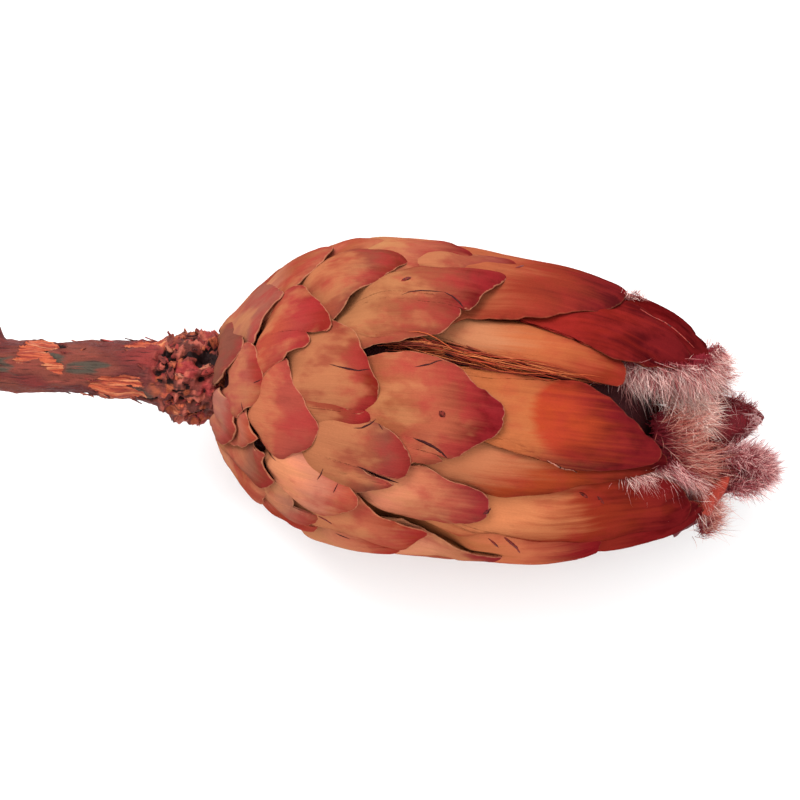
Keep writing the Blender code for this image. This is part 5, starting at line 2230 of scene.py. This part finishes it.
@dataclass
class Studio:
    """The pale floor, the soft lights and the camera over the flower."""

    plane: PhotoPlane
    floor_size: float = 4.0
    lens: float = 157.5

    def camera(self) -> None:
        """Sets the camera straight over the head, turned as in the photograph."""
        data = bpy.data.cameras.new("photo_camera")
        data.lens = self.lens
        data.sensor_width = 36.0
        data.clip_end = 20.0
        made = bpy.data.objects.new("photo_camera", data)
        made.location = (
            (BASE_X + self.plane.eye_along) * MM,
            self.plane.eye_side * MM,
            (AXIS_HEIGHT + self.plane.eye_height) * MM,
        )
        made.rotation_euler = (0.0, 0.0, self.plane.tilt)
        bpy.context.collection.objects.link(made)
        bpy.context.scene.camera = made

    def floor(self) -> None:
        """Lays the floor."""
        half = self.floor_size / 2
        data = bpy.data.meshes.new("floor")
        corners = [(-half, -half, 0), (half, -half, 0), (half, half, 0), (-half, half, 0)]
        data.from_pydata(corners, [], [(0, 1, 2, 3)])
        made = bpy.data.objects.new("floor", data)
        data.materials.append(FloorFinish().material())
        bpy.context.collection.objects.link(made)

    def lamp(self, name: str, place: tuple[float, float, float], size: float, power: float) -> None:
        """Hangs a soft square lamp that faces the flower.

        Args:
            name: the lamp's name.
            place: where it hangs, in metres.
            size: its side.
            power: its power in watts.
        """
        data = bpy.data.lights.new(name, "AREA")
        data.shape = "SQUARE"
        data.size = size
        data.energy = power
        made = bpy.data.objects.new(name, data)
        made.location = place
        made.rotation_euler = (-Vector(place)).to_track_quat("-Z", "Y").to_euler()
        bpy.context.collection.objects.link(made)

    def build(self) -> None:
        """Sets up the whole studio."""
        self.floor()
        self.lamp("key", (-0.35, 0.55, 0.75), 0.5, 9.0)
        self.lamp("fill", (0.6, -0.5, 0.6), 0.8, 3.2)
        self.lamp("over", (0.0, 0.1, 1.1), 0.9, 5.0)
        world = bpy.data.worlds.new("studio")
        world.use_nodes = True
        sky = world.node_tree.nodes["Background"]
        sky.inputs[0].default_value = (1.0, 1.0, 1.0, 1.0)
        sky.inputs[1].default_value = 0.85
        bpy.context.scene.world = world
        bpy.context.scene.view_settings.view_transform = "Standard"


def dress(
    made: bpy.types.Object, material: bpy.types.Material, nodes: tuple[str, ...]
) -> None:
    """Gives a piece its material and its body, and hides the CAD nodes that it stands for.

    Args:
        made: the piece.
        material: its material.
        nodes: the CAD nodes that it replaces.
    """
    made.data.materials.append(material)
    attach(made, "root")
    if nodes:
        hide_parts(*nodes)
    log.info("%s rides on root, finish %s", made.name, material.name)


def main() -> None:
    """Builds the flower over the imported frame."""
    logging.basicConfig(level=logging.INFO, format="%(name)s: %(message)s")
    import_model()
    plane = PhotoPlane()
    studio = Studio(plane)
    studio.camera()
    form = HeadForm()
    outer, inner = FlowerHead(form).build()
    scale_finish = BractFinish("outer_bract_skin", gain=(1.0, 0.92, 0.86))
    bract_finish = BractFinish(
        "inner_bract_skin", bloom_share=0.04, edge_share=0.1, roughness=0.44, gain=(1.0, 0.86, 0.7), tan_share=0.0, blush_share=0.3
    )
    damage = Damage(form, plane).build((outer, inner))
    # This piece carries painted shade in its near-black cracks and a painted highlight line along b31's fold.
    dress(damage.piece("splits_and_painted_light"), ChaffFinish("split_and_painted_light_skin").material(), ())
    dress(outer.piece("scales"), scale_finish.material(), ("outer_bracts",))
    dress(inner.piece("bracts"), bract_finish.material(), ("inner_bracts",))
    heart, styles = Heart(form, plane).build()
    beard = Beard(form, plane)
    hair_finish = HairFinish("beard_hair_skin").material()
    style_finish = HairFinish("style_skin", root=tone(96, 34, 24)).material()
    dress(heart.piece("heart"), ChaffFinish("floret_skin", patchy=0.25).material(), ("florets",))
    dress(styles.bag.piece("styles"), style_finish, ())
    dress(beard.front(FRONT_PATCHES[:4]).bag.piece("fringe"), hair_finish, ("beard",))
    dress(beard.front(FRONT_PATCHES[4:8]).bag.piece("mouth_hair"), hair_finish, ())
    dress(beard.front(FRONT_PATCHES[8:]).bag.piece("tuft_hair"), hair_finish, ())
    dress(beard.behind().bag.piece("back_hair"), hair_finish, ())
    stem = Stem(plane)
    dress(stem.build().piece("bark"), BarkFinish("bark_skin").material(), ("stem",))
    chaff = Chaff(form, stem).build()
    dress(chaff.piece("chaff"), ChaffFinish("chaff_skin").material(), ())
    studio.build()


if __name__ == "__main__":
    main()
